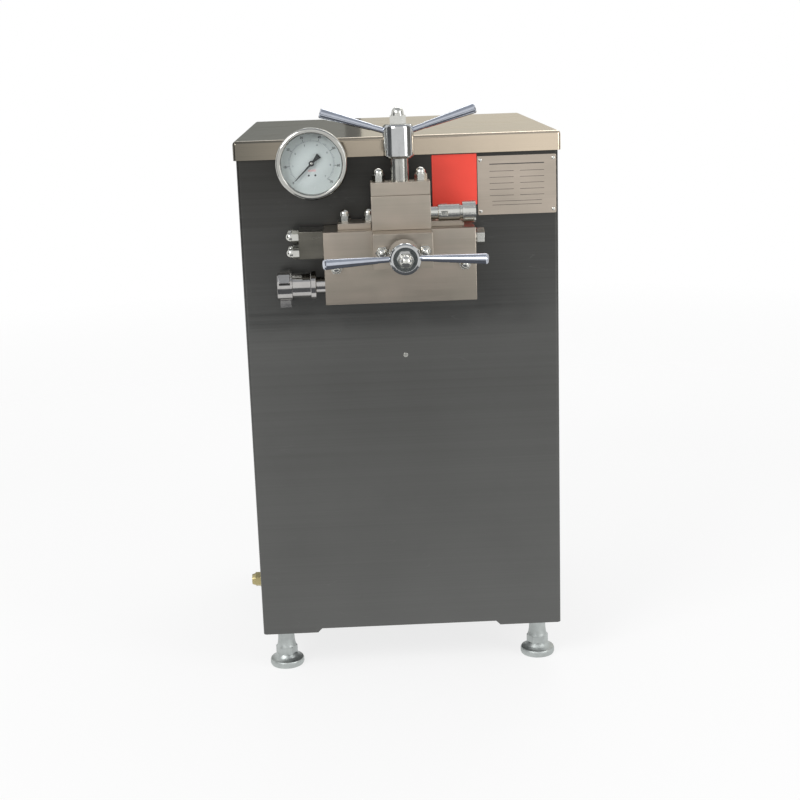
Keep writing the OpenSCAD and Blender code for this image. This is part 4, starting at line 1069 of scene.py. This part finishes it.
class HOMOGENIZER_OT_dial_marks(bpy.types.Operator):
    """Prints the scale and its plain numbers and fits the dial's screws and the pivot's cap"""

    bl_idname = "homogenizer.dial_marks"
    bl_label = "Dial Marks"

    def execute(self, context):
        rule = context.scene.homogenizer_dial
        place = on_front(DIAL_CENTRE.x, DIAL_LOW.y - DIAL_INK / 2, DIAL_CENTRE.z)
        start = math.pi / 2 + rule.sweep / 2
        scale = self.bars(rule, start, place) + self.numbers(rule, start, place)
        whole_object("dial_scale", joined("dial_scale", scale), "cabinet", "needle_black")
        red = grown(build_ruled_rows, {
            "Count": 2, "Pitch": (0.0, -RED_PITCH, 0.0), "Bar": RED_BAR, "Material": finish("red_mark")},
            place @ Matrix.Translation((0.0, -RED_DROP, 0.0)))
        whole_object("dial_red_mark", red, "cabinet", material="red_mark")
        heads = []
        screw_z = DIAL_CENTRE.z - DIAL_SCREW_DROP
        for x in (-DIAL_SCREW_X, DIAL_SCREW_X):
            head = head_mesh("dial_screw", *DIAL_SCREW)
            head.transform(Matrix.Translation((DIAL_CENTRE.x + x, DIAL_LOW.y, screw_z)))
            heads.append(head)
        whole_object("dial_screws", joined("dial_screws", heads), "cabinet", "needle_black")
        needle_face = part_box("gauge_needle")[0].y
        cap = lathe_mesh("needle_pivot", [(radius, needle_face - rise) for radius, rise in PIVOT_PROFILE])
        cap.transform(Matrix.Translation((DIAL_CENTRE.x, 0.0, DIAL_CENTRE.z)))
        whole_object("needle_pivot", cap, "needle", "bright_steel", "stem_steel")
        return {"FINISHED"}

    @staticmethod
    def bars(rule, start, place):
        """Ticks of three lengths and the thin ring inside them"""
        chord = rule.ring * rule.sweep / (RING_BARS - 1) * RING_OVERLAP
        rows = (
            (rule.majors * rule.minors + 1, SMALL_TICK),
            (rule.majors * 2 + 1, HALF_TICK),
            (rule.majors + 1, NUMBERED_TICK),
            (RING_BARS, (RING_WIDTH, chord, -RING_INSET)))
        return [grown(build_arc_bars, {
            "Count": count, "Radius": rule.ring + shift, "Start": start, "Sweep": -rule.sweep,
            "Bar": (length, DIAL_INK, width), "Material": finish("needle_black")}, place)
            for count, (length, width, shift) in rows]

    @staticmethod
    def numbers(rule, start, place):
        """Plain numbers outside and inside the scale's ring"""
        meshes = []
        for k in range(rule.majors + 1):
            turn = start - rule.sweep * k / rule.majors
            for shift, height, number in ((OUTER_NUMBERS, rule.outer_text, k * rule.step),
                                          (INNER_NUMBERS, rule.inner_text, k)):
                radius = rule.ring + shift
                spot = Matrix.Translation((radius * math.cos(turn), radius * math.sin(turn), 0.0))
                meshes.append(text_mesh(str(number), height, DIAL_INK, place @ spot))
        return meshes


class HOMOGENIZER_OT_plates(bpy.types.Operator):
    """Fixes the plain red plate and the ruled rating plate to the front panel"""

    bl_idname = "homogenizer.plates"
    bl_label = "Front Plates"

    def execute(self, context):
        rule = context.scene.homogenizer_plates
        face = PANEL_Y - rule.thickness
        for name, edges, corner in (("red_plate", rule.red_box, RED_CORNER),
                                    ("rating_plate", rule.rating_box, RATING_CORNER)):
            plate = whole_object(
                name, plate_mesh(name, edges, corner, face, PANEL_Y), "cabinet", material=name)
            bevelled(plate, *PLATE_EDGE)
        left, right, low, high = rule.rating_box
        middle = (left + right) / 2
        rows = []
        for x, count, drop, pitch, width, height in (HEADING_LINE, LEFT_LINES, RIGHT_LINES, FOOT_LINES):
            rows.append(grown(build_ruled_rows, {
                "Count": count, "Pitch": (0.0, -pitch * MM, 0.0),
                "Bar": (width * MM, height * MM, PLATE_INK), "Material": finish("plate_ink")},
                on_front(middle + x * MM, face - PLATE_INK / 2, high - drop * MM)))
        whole_object("rating_lines", joined("rating_lines", rows), "cabinet", material="plate_ink")
        rivets = grid_of(
            head_mesh("rivet", rule.rivet, RIVET_HEIGHT), right - left - RIVET_INSET[0],
            high - low - RIVET_INSET[1], 2, 2, Matrix.Translation((middle, face, (low + high) / 2)))
        whole_object("rating_rivets", rivets, "cabinet", "bright_steel")
        return {"FINISHED"}


class HOMOGENIZER_OT_fasteners(bpy.types.Operator):
    """Adds the small screws of the front and rear panels"""

    bl_idname = "homogenizer.fasteners"
    bl_label = "Small Screws"

    def execute(self, context):
        diameter = context.scene.homogenizer_plates.screw
        front = screw_head_mesh("front_screw_head", diameter, FRONT_SCREW_HEIGHT)
        front.transform(Matrix.Translation(FRONT_SCREW))
        whole_object("panel_screw", front, "cabinet", "panel_steel", "stem_steel")
        head = screw_head_mesh("screw_head", diameter, REAR_SCREW_HEIGHT)
        size = REAR_HIGH - REAR_LOW
        middle_z = (REAR_LOW.z + REAR_HIGH.z) / 2
        facing_back = Matrix.Rotation(math.pi, 4, "Z")
        rear = grid_of(
            head, size.x - REAR_INSET[0], size.z - REAR_INSET[1], *REAR_GRID,
            Matrix.Translation((0.0, REAR_HIGH.y, middle_z - REAR_DROP)) @ facing_back)
        whole_object("rear_screws", rear, "cabinet", "bright_steel")
        return {"FINISHED"}


class HOMOGENIZER_OT_drive(bpy.types.Operator):
    """Finishes the drive inside the cabinet"""

    bl_idname = "homogenizer.drive"
    bl_label = "Drive"

    def execute(self, context):
        dress(["crankcase", "crank_bearings", "crankshaft", "crank_pulley", "motor_body", "motor_rotor",
               "motor_pulley", "drive_belts"])
        dress([f"{piece}_{side}" for piece in ("plunger", "rod") for side in ("left", "middle", "right")])
        return {"FINISHED"}


# Stage


def pale_floor_material(radius):
    """Pale floor that keeps the shadow and fades out into the background"""
    material, tree = blank_material("pale_floor")
    matt = add(tree, "ShaderNodeBsdfPrincipled", {
        "Base Color": FLOOR_TONE, "Roughness": 0.9, "Specular IOR Level": 0.1})
    white = add(tree, "ShaderNodeEmission", {"Color": WHITE, "Strength": 1.0})
    lift = add(tree, "ShaderNodeMixShader", {
        0: times(tree, seen_ray(tree), FLOOR_LIFT), 1: matt.outputs[0], 2: white.outputs[0]})
    far = add(tree, "ShaderNodeVectorMath", {0: object_place(tree)}, operation="LENGTH").outputs["Value"]
    clear = add(tree, "ShaderNodeBsdfTransparent")
    start, end = [radius * share for share in FLOOR_FADE]
    fade = add(tree, "ShaderNodeMixShader", {
        0: span(tree, far, start, end), 1: lift.outputs[0], 2: clear.outputs[0]})
    add(tree, "ShaderNodeOutputMaterial", {"Surface": fade.outputs[0]})
    return material


def pale_floor(radius):
    """Round floor just under the feet"""
    bm = bmesh.new()
    bmesh.ops.create_circle(bm, cap_ends=True, segments=FLOOR_SIDES, radius=radius)
    mesh = mesh_from(bm, "floor")
    mesh.transform(Matrix.Translation((0.0, 0.0, CAD_BOX[0][2] - FLOOR_GAP)))
    mesh.materials.append(pale_floor_material(radius))
    linked("floor", mesh)


def flag(name, low, high, tone):
    """Plain card that only gloss sees, so that bright metal has something darker to show"""
    u, v = [axis for axis in range(3) if high[axis] > low[axis]]
    bm = bmesh.new()
    corners = []
    for a, b in ((low, low), (high, low), (high, high), (low, high)):
        point = list(low)
        point[u] = a[u]
        point[v] = b[v]
        corners.append(bm.verts.new(point))
    bm.faces.new(corners)
    mesh = mesh_from(bm, name)
    material, tree = blank_material(name)
    glow = add(tree, "ShaderNodeEmission", {"Color": (*tone, 1.0), "Strength": 1.0})
    add(tree, "ShaderNodeOutputMaterial", {"Surface": glow.outputs[0]})
    mesh.materials.append(material)
    card = linked(name, mesh)
    card.visible_camera = False
    card.visible_diffuse = False
    card.visible_transmission = False
    card.visible_shadow = False


def lamp(name, place, size, power):
    """Large soft area lamp pointed at the object"""
    data = bpy.data.lights.new(name, "AREA")
    data.shape = "RECTANGLE"
    data.size, data.size_y = size
    data.energy = power
    toward = Vector(LAMP_AIM) - Vector(place)
    turn = toward.to_track_quat("-Z", "Y").to_matrix().to_4x4()
    linked(name, data).matrix_world = Matrix.Translation(place) @ turn


class HOMOGENIZER_OT_stage(bpy.types.Operator):
    """Sets the pale floor, the soft light and the camera"""

    bl_idname = "homogenizer.stage"
    bl_label = "Stage"

    def execute(self, context):
        scene = context.scene
        rule = scene.homogenizer_stage
        pale_floor(rule.floor_radius)
        self.light_world(scene, rule)
        for name, (low, high, tone) in CARDS.items():
            flag(name, low, high, tone)
        for name, (place, size) in LAMPS.items():
            lamp(f"{name}_lamp", place, size, getattr(rule, f"{name}_power"))
        data = bpy.data.cameras.new("camera")
        data.lens = rule.lens
        data.sensor_width = SENSOR_WIDTH
        data.clip_end = VIEW_END
        camera = linked("camera", data)
        camera.matrix_world = self.camera_matrix(rule)
        scene.camera = camera
        scene.view_settings.view_transform = "Standard"
        return {"FINISHED"}

    @staticmethod
    def camera_matrix(rule):
        """From the camera's right, down and forward directions"""
        base = Matrix(((1, 0, 0), (0, 0, -1), (0, 1, 0)))
        turn = (Matrix.Rotation(rule.camera_roll, 3, "Z") @ Matrix.Rotation(rule.camera_pitch, 3, "X")
                @ base @ Matrix.Rotation(rule.camera_yaw, 3, "Z"))
        right, down, ahead = turn
        axes = Matrix((right, -down, -ahead)).transposed().to_4x4()
        return Matrix.Translation(rule.camera_place) @ axes

    @staticmethod
    def light_world(scene, rule):
        """White background for what the camera and gloss see, even light for the rest"""
        world = bpy.data.worlds.new("studio")
        scene.world = world
        world.use_nodes = True
        tree = world.node_tree
        tree.nodes.clear()
        even = add(tree, "ShaderNodeBackground", {"Color": WHITE, "Strength": rule.world_level})
        white = add(tree, "ShaderNodeBackground", {"Color": WHITE, "Strength": 1.0})
        mix = add(tree, "ShaderNodeMixShader", {0: seen_ray(tree), 1: even.outputs[0], 2: white.outputs[0]})
        add(tree, "ShaderNodeOutputWorld", {"Surface": mix.outputs[0]})


class HOMOGENIZER_PT_panel(bpy.types.Panel):
    """Lists the homogenizer's pieces"""

    bl_idname = "HOMOGENIZER_PT_panel"
    bl_label = "Homogenizer"
    bl_space_type = "VIEW_3D"
    bl_region_type = "UI"
    bl_category = "Homogenizer"

    def draw(self, context):
        for operator in OPERATORS:
            self.layout.operator(operator.bl_idname)
        for name in SETTINGS:
            box = self.layout.box()
            group = getattr(context.scene, name)
            for key in group.bl_rna.properties.keys():
                if key not in ("rna_type", "name"):
                    box.prop(group, key)


OPERATORS = (
    HOMOGENIZER_OT_cabinet, HOMOGENIZER_OT_feet, HOMOGENIZER_OT_pump, HOMOGENIZER_OT_valves,
    HOMOGENIZER_OT_handles, HOMOGENIZER_OT_unions, HOMOGENIZER_OT_gauge, HOMOGENIZER_OT_dial_marks,
    HOMOGENIZER_OT_plates, HOMOGENIZER_OT_fasteners, HOMOGENIZER_OT_drive, HOMOGENIZER_OT_stage)
SETTINGS = {
    "homogenizer_finish": FinishSettings, "homogenizer_edges": EdgeSettings,
    "homogenizer_dial": DialSettings, "homogenizer_plates": PlateSettings,
    "homogenizer_stage": StageSettings}


def register():
    for name, kind in SETTINGS.items():
        bpy.utils.register_class(kind)
        setattr(bpy.types.Scene, name, bpy.props.PointerProperty(type=kind))
    for kind in OPERATORS + (HOMOGENIZER_PT_panel,):
        bpy.utils.register_class(kind)


def unregister():
    for kind in reversed(OPERATORS + (HOMOGENIZER_PT_panel,)):
        bpy.utils.unregister_class(kind)
    for name, kind in SETTINGS.items():
        delattr(bpy.types.Scene, name)
        bpy.utils.unregister_class(kind)


def main():
    register()
    for operator in OPERATORS:
        group, name = operator.bl_idname.split(".")
        getattr(getattr(bpy.ops, group), name)()


if __name__ == "__main__":
    main()
